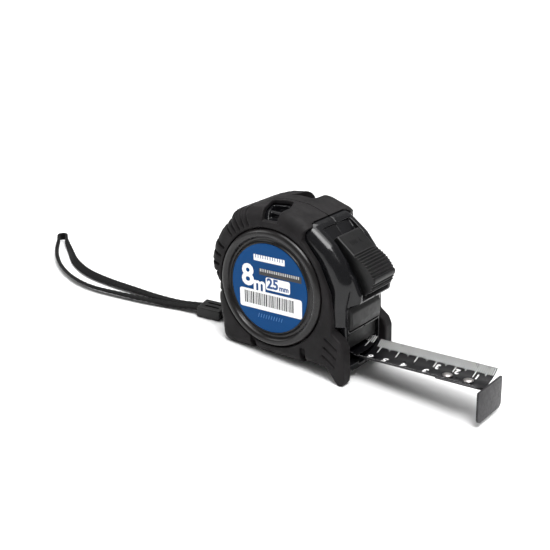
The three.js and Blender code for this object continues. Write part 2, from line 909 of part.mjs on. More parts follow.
function piece(parent, name, look, body) {
  const mesh = new THREE.Mesh(toGeometry(body), new THREE.MeshStandardMaterial(looks[look]));
  mesh.name = name;
  parent.add(mesh);
  return mesh;
}

const shell = caseShell();
const rubber = gripPair();
piece(standing, 'case_right', 'abs', half(shell, -1));
piece(standing, 'case_left', 'abs', half(shell, 1));
piece(standing, 'grip_right', 'rubber', half(rubber, -1));
piece(standing, 'grip_left', 'rubber', half(rubber, 1));
piece(standing, 'bezel_right', 'bezel', bezel(-1, 2));
piece(standing, 'bezel_left', 'bezel', bezel(1, 2));
piece(standing, 'label_right', 'label', label(-1, 0.5));
piece(standing, 'label_left', 'label', label(1, 2));
piece(standing, 'nose_bumper', 'nylon', noseBumper());
piece(standing, 'blade_guide', 'nylon', bladeGuide());
piece(standing, 'centre_post', 'steel', centrePost());
piece(standing, 'belt_clip', 'steel', beltClip());
piece(standing, 'clip_screw', 'steel', clipScrew());
screwSpots.forEach(([x, z], i) => piece(standing, `case_screw_${i + 1}`, 'steel', caseScrew(x, z)));
piece(standing, 'strap_pin', 'steel', anchorPin());
piece(standing, 'reel_drum', 'nylon', reelDrum());
piece(standing, 'drum_cover', 'nylon', drumCover());
piece(standing, 'mainspring', 'steel', mainspring());
piece(standing, 'blade_coil', 'blade', bladeCoil());
piece(standing, 'blade_run', 'blade', bladeRun());
piece(standing, 'blade', 'blade', bladeStrip());
rivetSpots.forEach((x, i) => piece(standing, `rivet_${i + 1}`, 'steel', rivet(x)));
piece(standing, 'end_hook', 'blackSteel', endHook());
piece(standing, 'lock_button', 'button', buttonSolid());
piece(standing, 'lock_lever', 'nylon', lockLever());
piece(standing, 'brake_pad', 'rubber', brakePad());

// Tips the case back until both feet and the heel stand on z = 0, then centres it over the origin.
standing.rotation.y = -Math.atan2(heelZ - footZ, footX - heelX);
standing.updateMatrixWorld(true);
const extent = new THREE.Box3().setFromObject(standing, true);
standing.position.set(
  -(extent.min.x + extent.max.x) / 2,
  -(extent.min.y + extent.max.y) / 2,
  -extent.min.z,
);

standing.updateMatrixWorld(true);
const pinSpot = standing.localToWorld(new THREE.Vector3(pinX, 0, pinZ));
ground.position.set(pinSpot.x, pinSpot.y, 0); // the strap lies where the pin is
piece(ground, 'wrist_strap', 'webbing', strapSolid());
const slider = piece(ground, 'strap_slider', 'nylon', strapSlider());
slider.position.set(...sliderSpot);
slider.rotation.z = THREE.MathUtils.degToRad(sliderTurn);

group.updateMatrixWorld(true);

export default group;
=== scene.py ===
# A pocket tape measure on a pale floor: rubber grips over a glossy case, a turned ring with a
# printed disc, a ribbed thumb lock, the cupped blade with its scale, an end hook and a braid strap.
#
# Shapes are drawn in millimetres in the case's own frame (+X along the blade, z = 0 the underside)
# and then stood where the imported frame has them. The strap and its slider are drawn on the floor.

import json
import math
from contextlib import contextmanager

import bmesh
import bpy
from mathutils import Matrix, Vector


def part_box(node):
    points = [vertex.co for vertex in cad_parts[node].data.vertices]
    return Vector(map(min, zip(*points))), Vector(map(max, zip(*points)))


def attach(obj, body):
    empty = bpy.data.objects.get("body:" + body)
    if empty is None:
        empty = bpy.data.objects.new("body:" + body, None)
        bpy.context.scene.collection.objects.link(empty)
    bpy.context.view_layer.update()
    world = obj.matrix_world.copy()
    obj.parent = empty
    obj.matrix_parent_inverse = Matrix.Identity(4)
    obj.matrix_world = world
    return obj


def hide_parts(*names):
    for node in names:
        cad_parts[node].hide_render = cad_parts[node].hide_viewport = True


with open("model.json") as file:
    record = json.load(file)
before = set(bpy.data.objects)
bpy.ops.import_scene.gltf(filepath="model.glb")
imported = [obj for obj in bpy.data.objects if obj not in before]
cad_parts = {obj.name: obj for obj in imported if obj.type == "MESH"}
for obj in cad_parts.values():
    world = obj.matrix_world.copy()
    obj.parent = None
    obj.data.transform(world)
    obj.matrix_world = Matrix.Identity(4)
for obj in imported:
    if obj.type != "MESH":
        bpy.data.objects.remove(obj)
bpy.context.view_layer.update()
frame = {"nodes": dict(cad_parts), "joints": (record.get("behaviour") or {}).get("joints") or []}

# ---------------------------------------------------------------- driving sizes, millimetres

MM = 0.001
GAP = 0.3
REEL_HEIGHT = 34.5
GRIP_HALF = 22.0
GRIP_ROUNDING = 6.0
CASE_HALF = 18.5
CASE_ROUNDING = 6.5
CASE_WALL = 2.0
RUBBER_COVER = 2.4
BEZEL_RADIUS = 29.0
BEZEL_RIM = 23.4
LABEL_RADIUS = 21.8
LABEL_FACE = 22.5
EAR_X = 41.0
EAR_INNER = 15.4
BELLY_HALF = EAR_INNER - GAP
FOOT_X = 38.7
FOOT_Z = -6.6
FOOT_ROUNDING = 2.0
HEEL_X = -24.0
HEEL_Z = 0.5
STAND_FLAT = 0.35
MOUTH_X = 35.6
MOUTH_TOP = 16.2
MOUTH_HALF = 13.0
BLADE_TRAVEL = 62.1
BUMPER_BOTTOM = 18.0
BUMPER_TOP = 29.6
FAR_WINDOW_START = 8.5
FRONT_WALL_X = 34.5
SLIDE_ANGLE = math.radians(47)
SLOT_HALF = 11.2
SLOT_FLOOR = 55.5
BUTTON_HALF = 9.3
BUTTON_TRAVEL = 6.0
LEVER_HALF = 4.0
BLADE_WIDTH = 25.0
BLADE_THICKNESS = 0.2
BLADE_CUP = 4.7
BLADE_CUP_RADIUS = BLADE_WIDTH ** 2 / (8 * BLADE_CUP)
MOUTH_CUP = 0.75
BLADE_BOTTOM = 2.2
BLADE_START = EAR_X - 1.5
HOOK_X = BLADE_START + 63.9
HOOK_PLAY = 1.0
HOOK_WIDTH = 23.0
HOOK_HEIGHT = 15.0
HOOK_THICKNESS = 1.0
POST_RADIUS = 3.9
CLIP_GAP = 4.6
CLIP_WIDTH = 16.0
CLIP_THICKNESS = 1.0
POST_HALF = CASE_HALF - CASE_WALL - 0.5
FITTED_HALF = MOUTH_HALF - 0.4  # pieces that sit in the mouth

joints = {joint["name"]: joint for joint in frame["joints"]}
BLADE_AXIS = Vector(joints["blade_slide"]["axis"])
TILT = math.atan2(BLADE_AXIS.z, BLADE_AXIS.x)
REEL_CENTRE = Vector(joints["reel_spin"]["pos_m"])
STAND = (
    Matrix.Translation(REEL_CENTRE)
    @ Matrix.Rotation(-TILT, 4, "Y")
    @ Matrix.Scale(MM, 4)
    @ Matrix.Translation((0, 0, -REEL_HEIGHT))
)

# ---------------------------------------------------------------- camera

CAMERA_PLACE = (293.99, -405.66, 211.26)
CAMERA_ANGLES = (36.74, 19.99, -1.20)  # azimuth, elevation and roll in degrees


def camera():
    """Looks at the right front from above, with a long lens."""
    data = bpy.data.cameras.new("camera")
    data.sensor_width = 36
    data.lens = 71.87
    data.shift_x = -0.0138
    data.shift_y = 0.0203
    data.clip_start = 0.01
    azimuth, elevation, roll = (math.radians(a) for a in CAMERA_ANGLES)
    right = Vector((math.cos(azimuth), math.sin(azimuth), 0))
    back = Vector((math.sin(azimuth) * math.cos(elevation), -math.cos(azimuth) * math.cos(elevation),
                   math.sin(elevation)))
    up = back.cross(right)
    rolled_right = right * math.cos(roll) + up * math.sin(roll)
    rolled_up = up * math.cos(roll) - right * math.sin(roll)
    turn = Matrix((rolled_right, rolled_up, back)).transposed().to_4x4()
    stand_turn = Matrix.Rotation(-TILT, 4, "Y")
    place = STAND @ Vector(CAMERA_PLACE)
    rig = bpy.data.objects.new("camera", data)
    rig.matrix_world = Matrix.Translation(place) @ stand_turn @ turn
    bpy.context.scene.collection.objects.link(rig)
    bpy.context.scene.camera = rig


camera()

# ---------------------------------------------------------------- shaping


def new_object(name, mesh):
    item = bpy.data.objects.new(name, mesh)
    bpy.context.scene.collection.objects.link(item)
    return item


@contextmanager
def editing(mesh):
    work = bmesh.new()
    work.from_mesh(mesh)
    yield work
    work.to_mesh(mesh)
    work.free()


def from_faces(verts, faces, name="work"):
    mesh = bpy.data.meshes.new(name)
    mesh.from_pydata([tuple(v) for v in verts], [], faces)
    with editing(mesh) as work:
        bmesh.ops.remove_doubles(work, verts=work.verts, dist=1e-5)
        bmesh.ops.recalc_face_normals(work, faces=work.faces)
    return new_object(name, mesh)


def apply_modifiers(item):
    """Turns what the modifiers show into the object's own plain mesh."""
    graph = bpy.context.evaluated_depsgraph_get()
    mesh = bpy.data.meshes.new_from_object(item.evaluated_get(graph))
    item.modifiers.clear()
    old = item.data
    item.data = mesh
    bpy.data.meshes.remove(old)
    return item


def combine(item, other, how):
    modifier = item.modifiers.new("combine", "BOOLEAN")
    modifier.operation = how
    modifier.solver = "MANIFOLD"
    modifier.object = other
    apply_modifiers(item)
    bpy.data.objects.remove(other)
    return item


def cut(item, *others):
    for other in others:
        combine(item, other, "DIFFERENCE")
    return item


def add(item, *others):
    for other in others:
        combine(item, other, "UNION")
    return item


def meet(item, other):
    return combine(item, other, "INTERSECT")


def copy(item):
    return new_object("work", item.data.copy())


def mirrored(item):
    """The mirror image across the middle plane."""
    twin = copy(item)
    twin.data.transform(Matrix.Scale(-1, 4, (0, 1, 0)))
    twin.data.flip_normals()
    return twin


def both_sides(item):
    return add(item, mirrored(item))


def outline(corners, step=math.radians(9)):
    """Points of a closed outline through corners (x, z, radius): a radius rounds its corner."""
    points = []
    for i, corner in enumerate(corners):
        here = Vector(corner[:2])
        radius = corner[2] if len(corner) > 2 else 0
        if radius == 0:
            points.append(here)
            continue
        before = Vector(corners[i - 1][:2]) - here
        after = Vector(corners[(i + 1) % len(corners)][:2]) - here
        half = before.angle(after) / 2
        reach = min(radius / math.tan(half), 0.48 * before.length, 0.48 * after.length)
        middle = here + (before.normalized() + after.normalized()).normalized() * reach / math.cos(half)
        start = here + before.normalized() * reach - middle
        end = here + after.normalized() * reach - middle
        first = math.atan2(start.y, start.x)
        sweep = (math.atan2(end.y, end.x) - first + math.pi) % (2 * math.pi) - math.pi
        count = max(2, math.ceil(abs(sweep) / step))
        for k in range(count + 1):
            angle = first + sweep * k / count
            points.append(middle + start.length * Vector((math.cos(angle), math.sin(angle))))
    return points


def layered(rings, name="work"):
    """Skins equal rings of points into one closed solid."""
    count = len(rings[0])
    verts = [v for ring in rings for v in ring]
    faces = [tuple(range(count)), tuple(range(len(verts) - count, len(verts)))[::-1]]
    for i in range(len(rings) - 1):
        for j in range(count):
            a = i * count + j
            b = i * count + (j + 1) % count
            faces.append((a, b, b + count, a + count))
    return from_faces(verts, faces, name)


def prism(points, y0, y1):
    return layered([[(p[0], y, p[1]) for p in points] for y in (y0, y1)])


def slab(points, y0, y1, bevel=0.0, segments=4):
    """A prism with its long edges rounded."""
    item = prism(points, y0, y1)
    if bevel:
        round_edges(item, bevel, segments)
    return item


def round_edges(item, width, segments=3, angle=40):
    modifier = item.modifiers.new("round", "BEVEL")
    modifier.width = width
    modifier.segments = segments
    modifier.limit_method = "ANGLE"
    modifier.angle_limit = math.radians(angle)
    return apply_modifiers(item)


def pebble(points, half, rounding, grow=0.0, steps=8):
    """A solid across the middle plane whose outer edges are rounded towards the reel's axis."""
    layers = []
    for i in range(steps + 1):
        angle = i / steps * math.pi / 2
        layers.append((rounding * (1 - math.sin(angle)), half - rounding * (1 - math.cos(angle))))
    layers += [(inset, -y) for inset, y in reversed(layers)]
    rings = []
    for inset, y in layers:
        ring = []
        for point in points:
            arm = Vector((point[0], point[1] - REEL_HEIGHT))
            arm.length = arm.length + grow - inset
            ring.append((arm.x, y, arm.y + REEL_HEIGHT))
        rings.append(ring)
    return layered(rings)


def box(x0, x1, y0, y1, z0, z1):
    return prism([(x0, z0), (x1, z0), (x1, z1), (x0, z1)], y0, y1)


def circle(radius, x, y, segments):
    angles = [2 * math.pi * i / segments for i in range(segments)]
    return [(x + radius * math.cos(a), y + radius * math.sin(a)) for a in angles]


def drum(radius, y0, y1, x=0.0, z=REEL_HEIGHT, segments=48):
    return prism(circle(radius, x, z, segments), y0, y1)


def upright(radius, x, z0, z1, segments=32):
    return layered([[(px, py, z) for px, py in circle(radius, x, 0.0, segments)] for z in (z0, z1)])


def turned(profile, segments=96, x=0.0, z=REEL_HEIGHT):
    """Turns a closed profile of (radius, y) about a line along Y."""
    angles = [2 * math.pi * i / segments for i in range(segments)]
    verts = [(x + r * math.cos(a), y, z + r * math.sin(a)) for a in angles for r, y in profile]
    count = len(profile)
    faces = []
    for i in range(segments):
        for j in range(count):
            a = i * count + j
            b = i * count + (j + 1) % count
            c = ((i + 1) % segments) * count
            faces.append((a, b, c + (j + 1) % count, c + j))
    item = from_faces(verts, faces)
    with editing(item.data) as work:
        bmesh.ops.dissolve_degenerate(work, dist=1e-5, edges=work.edges)
    return item


def soften(item, voxel, rounds, keep=1.0):
    """Remeshes a solid evenly and rounds its edges, as moulded parts have."""
    remesh = item.modifiers.new("even", "REMESH")
    remesh.mode = "VOXEL"
    remesh.voxel_size = voxel
    smooth = item.modifiers.new("round", "SMOOTH")
    smooth.factor = 0.5
    smooth.iterations = rounds
    if keep < 1:
        thin = item.modifiers.new("thin", "DECIMATE")
        thin.ratio = keep
    return apply_modifiers(item)


def half_of(item, side):
    low, high = (GAP / 2, 90) if side > 0 else (-90, -GAP / 2)
    return meet(copy(item), box(-90, 200, low, high, -90, 150))


def shade(item, limit=30):
    """Smooth shading that stays crisp along edges sharper than the limit, in degrees."""
    with editing(item.data) as work:
        for face in work.faces:
            face.smooth = True
        for edge in work.edges:
            edge.smooth = len(edge.link_faces) == 2 and edge.calc_face_angle(0) < math.radians(limit)


def painted(item, material):
    item.data.materials.clear()
    item.data.materials.append(material)
    return item


def finish(item, name, material, body, nodes=(), limit=30, placed=False):
    """Names a piece, stands it in the frame and gives it its finish and its body."""
    item.name = name
    if not placed:
        item.data.transform(STAND)
    if material:
        painted(item, material)
    shade(item, limit)
    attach(item, body)
    if nodes:
        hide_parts(*nodes)


# ---------------------------------------------------------------- repeating by Geometry Nodes


def repeat_tree():
    """Repeats the incoming shape in even steps, turning each copy about a pivot along Y."""
    tree = bpy.data.node_groups.new("repeat", "GeometryNodeTree")
    tree.interface.new_socket("Geometry", in_out="INPUT", socket_type="NodeSocketGeometry")
    for label, kind in (("Count", "Int"), ("Step", "Vector"), ("Turn", "Float"), ("Pivot", "Vector"),
                        ("Material", "Material")):
        tree.interface.new_socket(label, in_out="INPUT", socket_type=f"NodeSocket{kind}")
    tree.interface.new_socket("Geometry", in_out="OUTPUT", socket_type="NodeSocketGeometry")
    node = tree.nodes.new
    given = node("NodeGroupInput")
    line = node("GeometryNodeMeshLine")
    place = node("GeometryNodeInstanceOnPoints")
    index = node("GeometryNodeInputIndex")
    amount = node("ShaderNodeMath")
    amount.operation = "MULTIPLY"
    angle = node("ShaderNodeCombineXYZ")
    turn = node("GeometryNodeRotateInstances")
    turn.inputs["Local Space"].default_value = False
    real = node("GeometryNodeRealizeInstances")
    paint = node("GeometryNodeSetMaterial")
    out = node("NodeGroupOutput")
    for source, output, target, socket in (
        (given, "Count", line, "Count"),
        (given, "Step", line, "Offset"),
        (line, "Mesh", place, "Points"),
        (given, "Geometry", place, "Instance"),
        (index, "Index", amount, 0),
        (given, "Turn", amount, 1),
        (amount, "Value", angle, "Y"),
        (place, "Instances", turn, "Instances"),
        (angle, "Vector", turn, "Rotation"),
        (given, "Pivot", turn, "Pivot Point"),
        (turn, "Instances", real, "Geometry"),
        (real, "Geometry", paint, "Geometry"),
        (given, "Material", paint, "Material"),
        (paint, "Geometry", out, "Geometry"),
    ):
        tree.links.new(source.outputs[output], target.inputs[socket])
    return tree


REPEAT = repeat_tree()


def repeated(item, count, step=(0, 0, 0), turn=0.0, pivot=(0, 0, REEL_HEIGHT), material=None):
    modifier = item.modifiers.new("repeat", "NODES")
    modifier.node_group = REPEAT
    sockets = [socket for socket in REPEAT.interface.items_tree if socket.in_out == "INPUT"]
    keys = {socket.name: socket.identifier for socket in sockets}
    values = {"Count": count, "Step": step, "Turn": turn, "Pivot": pivot, "Material": material}
    for label, value in values.items():
        modifier[keys[label]] = value
    return apply_modifiers(item)


# ---------------------------------------------------------------- materials


class Finish:
    """A node-based finish: colour, roughness and relief each vary over the surface."""

    def __init__(self, name, specular=0.5, metallic=0.0):
        self.material = bpy.data.materials.new(name)
        self.material.use_nodes = True
        self.nodes = self.material.node_tree.nodes
        self.links = self.material.node_tree.links
        self.shader = self.nodes["Principled BSDF"]
        self.shader.inputs["Specular IOR Level"].default_value = specular
        self.shader.inputs["Metallic"].default_value = metallic
        self.coordinates = self.nodes.new("ShaderNodeTexCoord").outputs["Object"]

    def node(self, kind, **settings):
        item = self.nodes.new("ShaderNode" + kind)
        for key, value in settings.items():
            setattr(item, key, value)
        return item

    def noise(self, scale, detail=2.0, stretch=None):
        item = self.node("TexNoise")
        item.inputs["Scale"].default_value = scale
        item.inputs["Detail"].default_value = detail
        vector = self.coordinates
        if stretch:
            mapping = self.node("Mapping")
            mapping.inputs["Scale"].default_value = stretch
            self.links.new(vector, mapping.inputs["Vector"])
            vector = mapping.outputs["Vector"]
        self.links.new(vector, item.inputs["Vector"])
        return item.outputs["Fac"]

    def maths(self, operation, a, b=None):
        item = self.node("Math", operation=operation)
        for socket, value in zip(item.inputs, (a, b)):
            if value is None:
                continue
            if isinstance(value, (int, float)):
                socket.default_value = value
            else:
                self.links.new(value, socket)
        return item.outputs["Value"]

    def ranged(self, factor, low, high, start=0.3, end=0.7):
        item = self.node("MapRange")
        self.links.new(factor, item.inputs["Value"])
        for label, value in (("From Min", start), ("From Max", end), ("To Min", low), ("To Max", high)):
            item.inputs[label].default_value = value
        return item.outputs["Result"]

    def colours(self, factor, first, second, start=0.35, end=0.65):
        ramp = self.node("ValToRGB")
        ramp.color_ramp.elements[0].position = start
        ramp.color_ramp.elements[0].color = (*first, 1)
        ramp.color_ramp.elements[1].position = end
        ramp.color_ramp.elements[1].color = (*second, 1)
        self.links.new(factor, ramp.inputs["Fac"])
        self.links.new(ramp.outputs["Color"], self.shader.inputs["Base Color"])

    def roughness(self, factor, low, high):
        self.links.new(self.ranged(factor, low, high), self.shader.inputs["Roughness"])

    def relief(self, height, depth, strength=1.0):
        """Bump of the given depth in millimetres."""
        bump = self.node("Bump")
        bump.inputs["Strength"].default_value = strength
        bump.inputs["Distance"].default_value = depth * MM
        self.links.new(height, bump.inputs["Height"])
        self.links.new(bump.outputs["Normal"], self.shader.inputs["Normal"])

    def reel_radius(self):
        """Distance from the reel's axis, in metres."""
        mapping = self.node("Mapping", vector_type="POINT")
        mapping.inputs["Location"].default_value = (-REEL_CENTRE.x, 0, -REEL_CENTRE.z)
        mapping.inputs["Scale"].default_value = (1, 0, 1)
        self.links.new(self.coordinates, mapping.inputs["Vector"])
        length = self.node("VectorMath", operation="LENGTH")
        self.links.new(mapping.outputs["Vector"], length.inputs[0])
        return length.outputs["Value"]


def moulded_rubber():
    look = Finish("moulded_rubber", specular=0.16)
    look.colours(look.noise(90, 3), (0.0065, 0.0058, 0.0062), (0.011, 0.0098, 0.0104))
    look.roughness(look.noise(260, 3), 0.52, 0.68)
    look.relief(look.noise(5200, 2), 0.05, 0.35)
    return look.material


def glossy_abs():
    look = Finish("glossy_abs", specular=0.34)
    look.colours(look.noise(120, 2), (0.0035, 0.0035, 0.0042), (0.006, 0.006, 0.007))
    look.roughness(look.noise(400, 3), 0.13, 0.22)
    look.relief(look.noise(900, 2), 0.02, 0.12)
    return look.material


def grained_button():
    look = Finish("grained_button", specular=0.3)
    look.colours(look.noise(150, 3), (0.004, 0.004, 0.0044), (0.007, 0.0068, 0.007))
    look.roughness(look.noise(500, 3), 0.34, 0.46)
    look.relief(look.noise(6500, 2), 0.04, 0.3)
    return look.material


def turned_plastic():
    """Satin plastic with fine concentric tool rings about the reel's axis."""
    look = Finish("turned_plastic", specular=0.36)
    look.colours(look.noise(140, 2), (0.005, 0.0044, 0.0046), (0.008, 0.0070, 0.0072))
    look.roughness(look.noise(120, 2), 0.26, 0.32)
    rings = look.maths("SINE", look.maths("MULTIPLY", look.reel_radius(), 9000))
    look.relief(rings, 0.002, 0.3)
    return look.material


def satin_nylon(name="satin_nylon", tone=0.014):
    look = Finish(name, specular=0.28)
    look.colours(look.noise(160, 3), (tone * 0.8,) * 3, (tone * 1.25,) * 3)
    look.roughness(look.noise(420, 3), 0.36, 0.5)
    look.relief(look.noise(4200, 2), 0.04, 0.3)
    return look.material


def blade_lacquer():
    """Black lacquer over strip steel, with faint lines along the blade."""
    look = Finish("blade_lacquer", specular=0.25)
    look.colours(look.noise(60, 3), (0.002, 0.002, 0.0026), (0.005, 0.005, 0.006))
    look.roughness(look.noise(200, 3), 0.26, 0.36)
    look.relief(look.noise(700, 3, (0.05, 1, 1)), 0.01, 0.15)
    return look.material


def printed(name, light, dark):
    look = Finish(name)
    look.colours(look.noise(2600, 3), dark, light, 0.3, 0.55)
    look.roughness(look.noise(900, 2), 0.35, 0.5)
    return look.material


def blue_disc():
    """Blue print under a clear film, a little paler towards the rim."""
    look = Finish("blue_disc", specular=0.1)
    mottled = look.maths("ADD", look.maths("MULTIPLY", look.reel_radius(), 22),
                            look.maths("MULTIPLY", look.noise(1800, 2), 0.16))
    look.colours(mottled, (0.0, 0.036, 0.135), (0.0, 0.048, 0.17), 0.1, 0.5)
    look.roughness(look.noise(500, 2), 0.28, 0.4)
    return look.material


def plated_steel():
    look = Finish("plated_steel", metallic=1.0)
    look.colours(look.noise(500, 3), (0.40, 0.38, 0.37), (0.46, 0.44, 0.43))
    look.roughness(look.noise(1400, 3), 0.26, 0.4)
    look.relief(look.noise(2600, 2), 0.02, 0.2)
    return look.material


def spring_steel():
    look = Finish("spring_steel", metallic=1.0)
    look.colours(look.noise(300, 3), (0.36, 0.37, 0.39), (0.5, 0.5, 0.52))
    look.roughness(look.noise(900, 3, (0.1, 1, 1)), 0.25, 0.42)
    return look.material


def coated_steel():
    """Black coating over pressed steel, worn thin in small patches."""
    look = Finish("coated_steel", metallic=0.55)
    look.colours(look.noise(260, 5), (0.018, 0.017, 0.019), (0.034, 0.032, 0.035), 0.3, 0.75)
    look.roughness(look.noise(700, 4), 0.34, 0.5)
    look.relief(look.noise(2600, 3), 0.03, 0.3)
    return look.material


def braid_yarn():
    look = Finish("braid_yarn", specular=0.15)
    look.colours(look.noise(2400, 3), (0.002, 0.002, 0.0022), (0.006, 0.0058, 0.006))
    look.roughness(look.noise(1200, 3), 0.7, 0.92)
    look.relief(look.noise(7000, 3), 0.08, 0.6)
    look.shader.inputs["Sheen Weight"].default_value = 0.03
    return look.material


RUBBER = moulded_rubber()
ABS = glossy_abs()
BUTTON = grained_button()
TURNED = turned_plastic()
NYLON = satin_nylon()
NYLON_BLACK = satin_nylon("satin_nylon_black", 0.008)
LACQUER = blade_lacquer()
PRINT_WHITE = printed("print_white", (0.86, 0.86, 0.86), (0.72, 0.72, 0.72))
PRINT_BLACK = printed("print_black", (0.012, 0.012, 0.014), (0.006, 0.006, 0.007))
PRINT_PALE_BLUE = printed("print_pale_blue", (0.02, 0.14, 0.38), (0.01, 0.10, 0.30))
PRINT_BLUE = printed("print_blue", (0.0, 0.05, 0.2), (0.0, 0.035, 0.15))
DISC = blue_disc()
PLATED = plated_steel()
SPRING = spring_steel()
COATED = coated_steel()
YARN = braid_yarn()

# ---------------------------------------------------------------- outlines of the case and grips

REAR_FOOT = [(-31, HEEL_Z, 8), (-31.6, 9), (-33.8, 22, 2), (-33.2, 30.5, 3), (-36.8, 38, 4),
             (-37.2, 43, 4), (-35, 51, 4), (-30.8, 57.8)]
TOP_BLOCK = [(-24.6, 64.8, 1.5), (-22.8, 68.3, 1.5), (-14.5, 71, 4), (-3, 72.2, 8), (8, 71.4, 8),
             (18.5, 67.8, 4), (22.5, 65)]
BELLY_LINE = [(34, 1), (18.6, 0.2), (16.8, -0.7, 2), (5, -0.6, 6), (-7, -0.3, 3), (-9.8, 0.3)]
GRIP = outline(REAR_FOOT + TOP_BLOCK + [(40, 48), (40, 20)] + BELLY_LINE)
GRIP_FRONT = outline([(23, 80), (21, 66.5), (18.6, 64.2, 2), (18.4, 60.8, 2), (26.6, 51, 8),
                      (33, 37.4, 8), (34.5, 24, 4), (34.3, -10), (-60, -10), (-60, 80)])
EAR = outline([(24, 2), (31.4, 1.6, 2), (36, -4.6, 2),
               (FOOT_X, FOOT_Z - FOOT_ROUNDING * 0.3, FOOT_ROUNDING), (EAR_X, -4.6, 1.5), (EAR_X, 11.5, 2.5),
               (39.4, 15.2, 2.5), (34, 19.3, 2), (28, 20.4), (24, 20)])
CASE_CORNERS = [(-23, 0.8, 3), (-28.8, 5.2, 4), (-29.6, 12), (-33.8 + RUBBER_COVER, 22, 2),
                (-33.2 + RUBBER_COVER, 30.5, 3), (-36.8 + RUBBER_COVER, 38, 4), (-37.2 + RUBBER_COVER, 43, 4),
                (-35 + RUBBER_COVER, 50, 4), (-21.6, 62.6, 3), (-20, 66.4, 2), (-14, 71 - RUBBER_COVER, 4),
                (-3, 72.2 - RUBBER_COVER, 8), (8, 71.2 - RUBBER_COVER, 8), (20.4, 66.8, 4), (31, 58.8, 14),
                (37, 51.2, 16), (41.6, 41.5, 14), (38.6, 29, 4), (38.6, 0.8, 2)]
SLIDE_DOWN = Vector((math.cos(SLIDE_ANGLE), -math.sin(SLIDE_ANGLE)))
SLIDE_NORMAL = Vector((-SLIDE_DOWN.y, SLIDE_DOWN.x))


def on_slide(corners):
    """(s, n, radius) along the slide and its outward normal become (x, z, radius)."""
    placed = []
    for corner in corners:
        point = SLIDE_DOWN * corner[0] + SLIDE_NORMAL * corner[1]
        placed.append((point.x, point.y, corner[2] if len(corner) > 2 else 0))
    return placed


BUTTON_REAR = -25.0
BUTTON_FRONT = 4.8
HEEL_STEP = -17.0
STEM_REAR = -9.0
STEM_FRONT = -3.0
SCREW_SPOTS = [(14, 63.6), (-18, 61), (-22.6, 12)]
BOSS_RADIUS = 3.2
SCREW_RADIUS = 1.3
SCREW_HEAD = 2.6
PIN_X = -27.0
PIN_Z = 12.5
PIN_RADIUS = 1.2
ANCHOR_HALF = 7.4
ANCHOR_NOTCH_HALF = 4.4
HOOK_WAY_HALF = 6.4
WINDOW_BACKING = 64.4
WINDOW_FLOOR = 65.8
WINDOW_FRAME = 1.2

# ---------------------------------------------------------------- case


def case_block(grow):
    body = pebble(outline(CASE_CORNERS), CASE_HALF + grow, CASE_ROUNDING, grow)
    beside = box(33.8 + grow, 60, EAR_INNER - GAP + grow, 40, -20, 20.6 - grow)
    return cut(body, both_sides(beside))


def slot_cut():
    rear = BUTTON_REAR - BUTTON_TRAVEL
    return prism(outline(on_slide([
        (6.4, SLOT_FLOOR), (HEEL_STEP - BUTTON_TRAVEL - 0.6, SLOT_FLOOR),
        (HEEL_STEP - BUTTON_TRAVEL - 1, SLOT_FLOOR + 4.1), (rear - 0.6, SLOT_FLOOR + 4.3),
        (rear - 2, SLOT_FLOOR + 30), (6.4, SLOT_FLOOR + 30)])), -SLOT_HALF, SLOT_HALF)


def slot_walls():
    rear = BUTTON_REAR - BUTTON_TRAVEL - 4
    return prism(outline(on_slide([
        (9, SLOT_FLOOR - 1.6), (rear, SLOT_FLOOR - 1.6), (rear, SLOT_FLOOR + 14), (9, SLOT_FLOOR + 14)])),
        -SLOT_HALF - 1.8, SLOT_HALF + 1.8)


def stem_slot():
    rear = STEM_REAR - BUTTON_TRAVEL - 0.6
    return prism(outline(on_slide([
        (STEM_FRONT + 0.6, SLOT_FLOOR + 3), (STEM_FRONT + 0.6, SLOT_FLOOR - 4),
        (rear, SLOT_FLOOR - 4), (rear, SLOT_FLOOR + 3)])), -LEVER_HALF - 0.4, LEVER_HALF + 0.4)


def collar():
    return slab(outline([(33, BUMPER_TOP - 0.8), (39.4, BUMPER_TOP + 0.4, 1), (44.4, BUMPER_TOP + 3, 2),
                         (45, 36.6, 2), (41.4, 44.4, 3), (37, 49.5), (30, 49), (30, 30)]),
                -SLOT_HALF - 2.6, SLOT_HALF + 2.6, 0.9)


def jaw():
    return slab(outline([(12, 1), (16, -1), (29, -1, 2), (33, -2.4, 2), (39.4, -2.4, 1.2), (40, 1.9),
                         (39, 2.6), (12, 2.6)]), -EAR_INNER + 0.6, EAR_INNER - 0.6, 0.6)


def window_cut(inset, floor):
    """A slanting window through the top edge of each grip. The left one stops short of the middle."""
    corners = [(-11.5 + inset, -2.4 - inset), (0.6 - inset, -2.4 - inset), (4.6 - inset, -11),
               (4.8 - inset, -24 + 3 * inset), (-2.6 + inset, -24 + 3 * inset)]
    right = layered([[(x, y, z) for x, y in corners] for z in (floor, floor + 30)])
    left = meet(mirrored(right), box(-60, 60, FAR_WINDOW_START + inset, 60, 0, 120))
    return add(right, left)


def window_bar():
    return both_sides(slab(outline([(-12, 66), (6, 66), (6, 68.6, 1), (-12, 68.6, 1)]), -13, -9.5, 0.6))


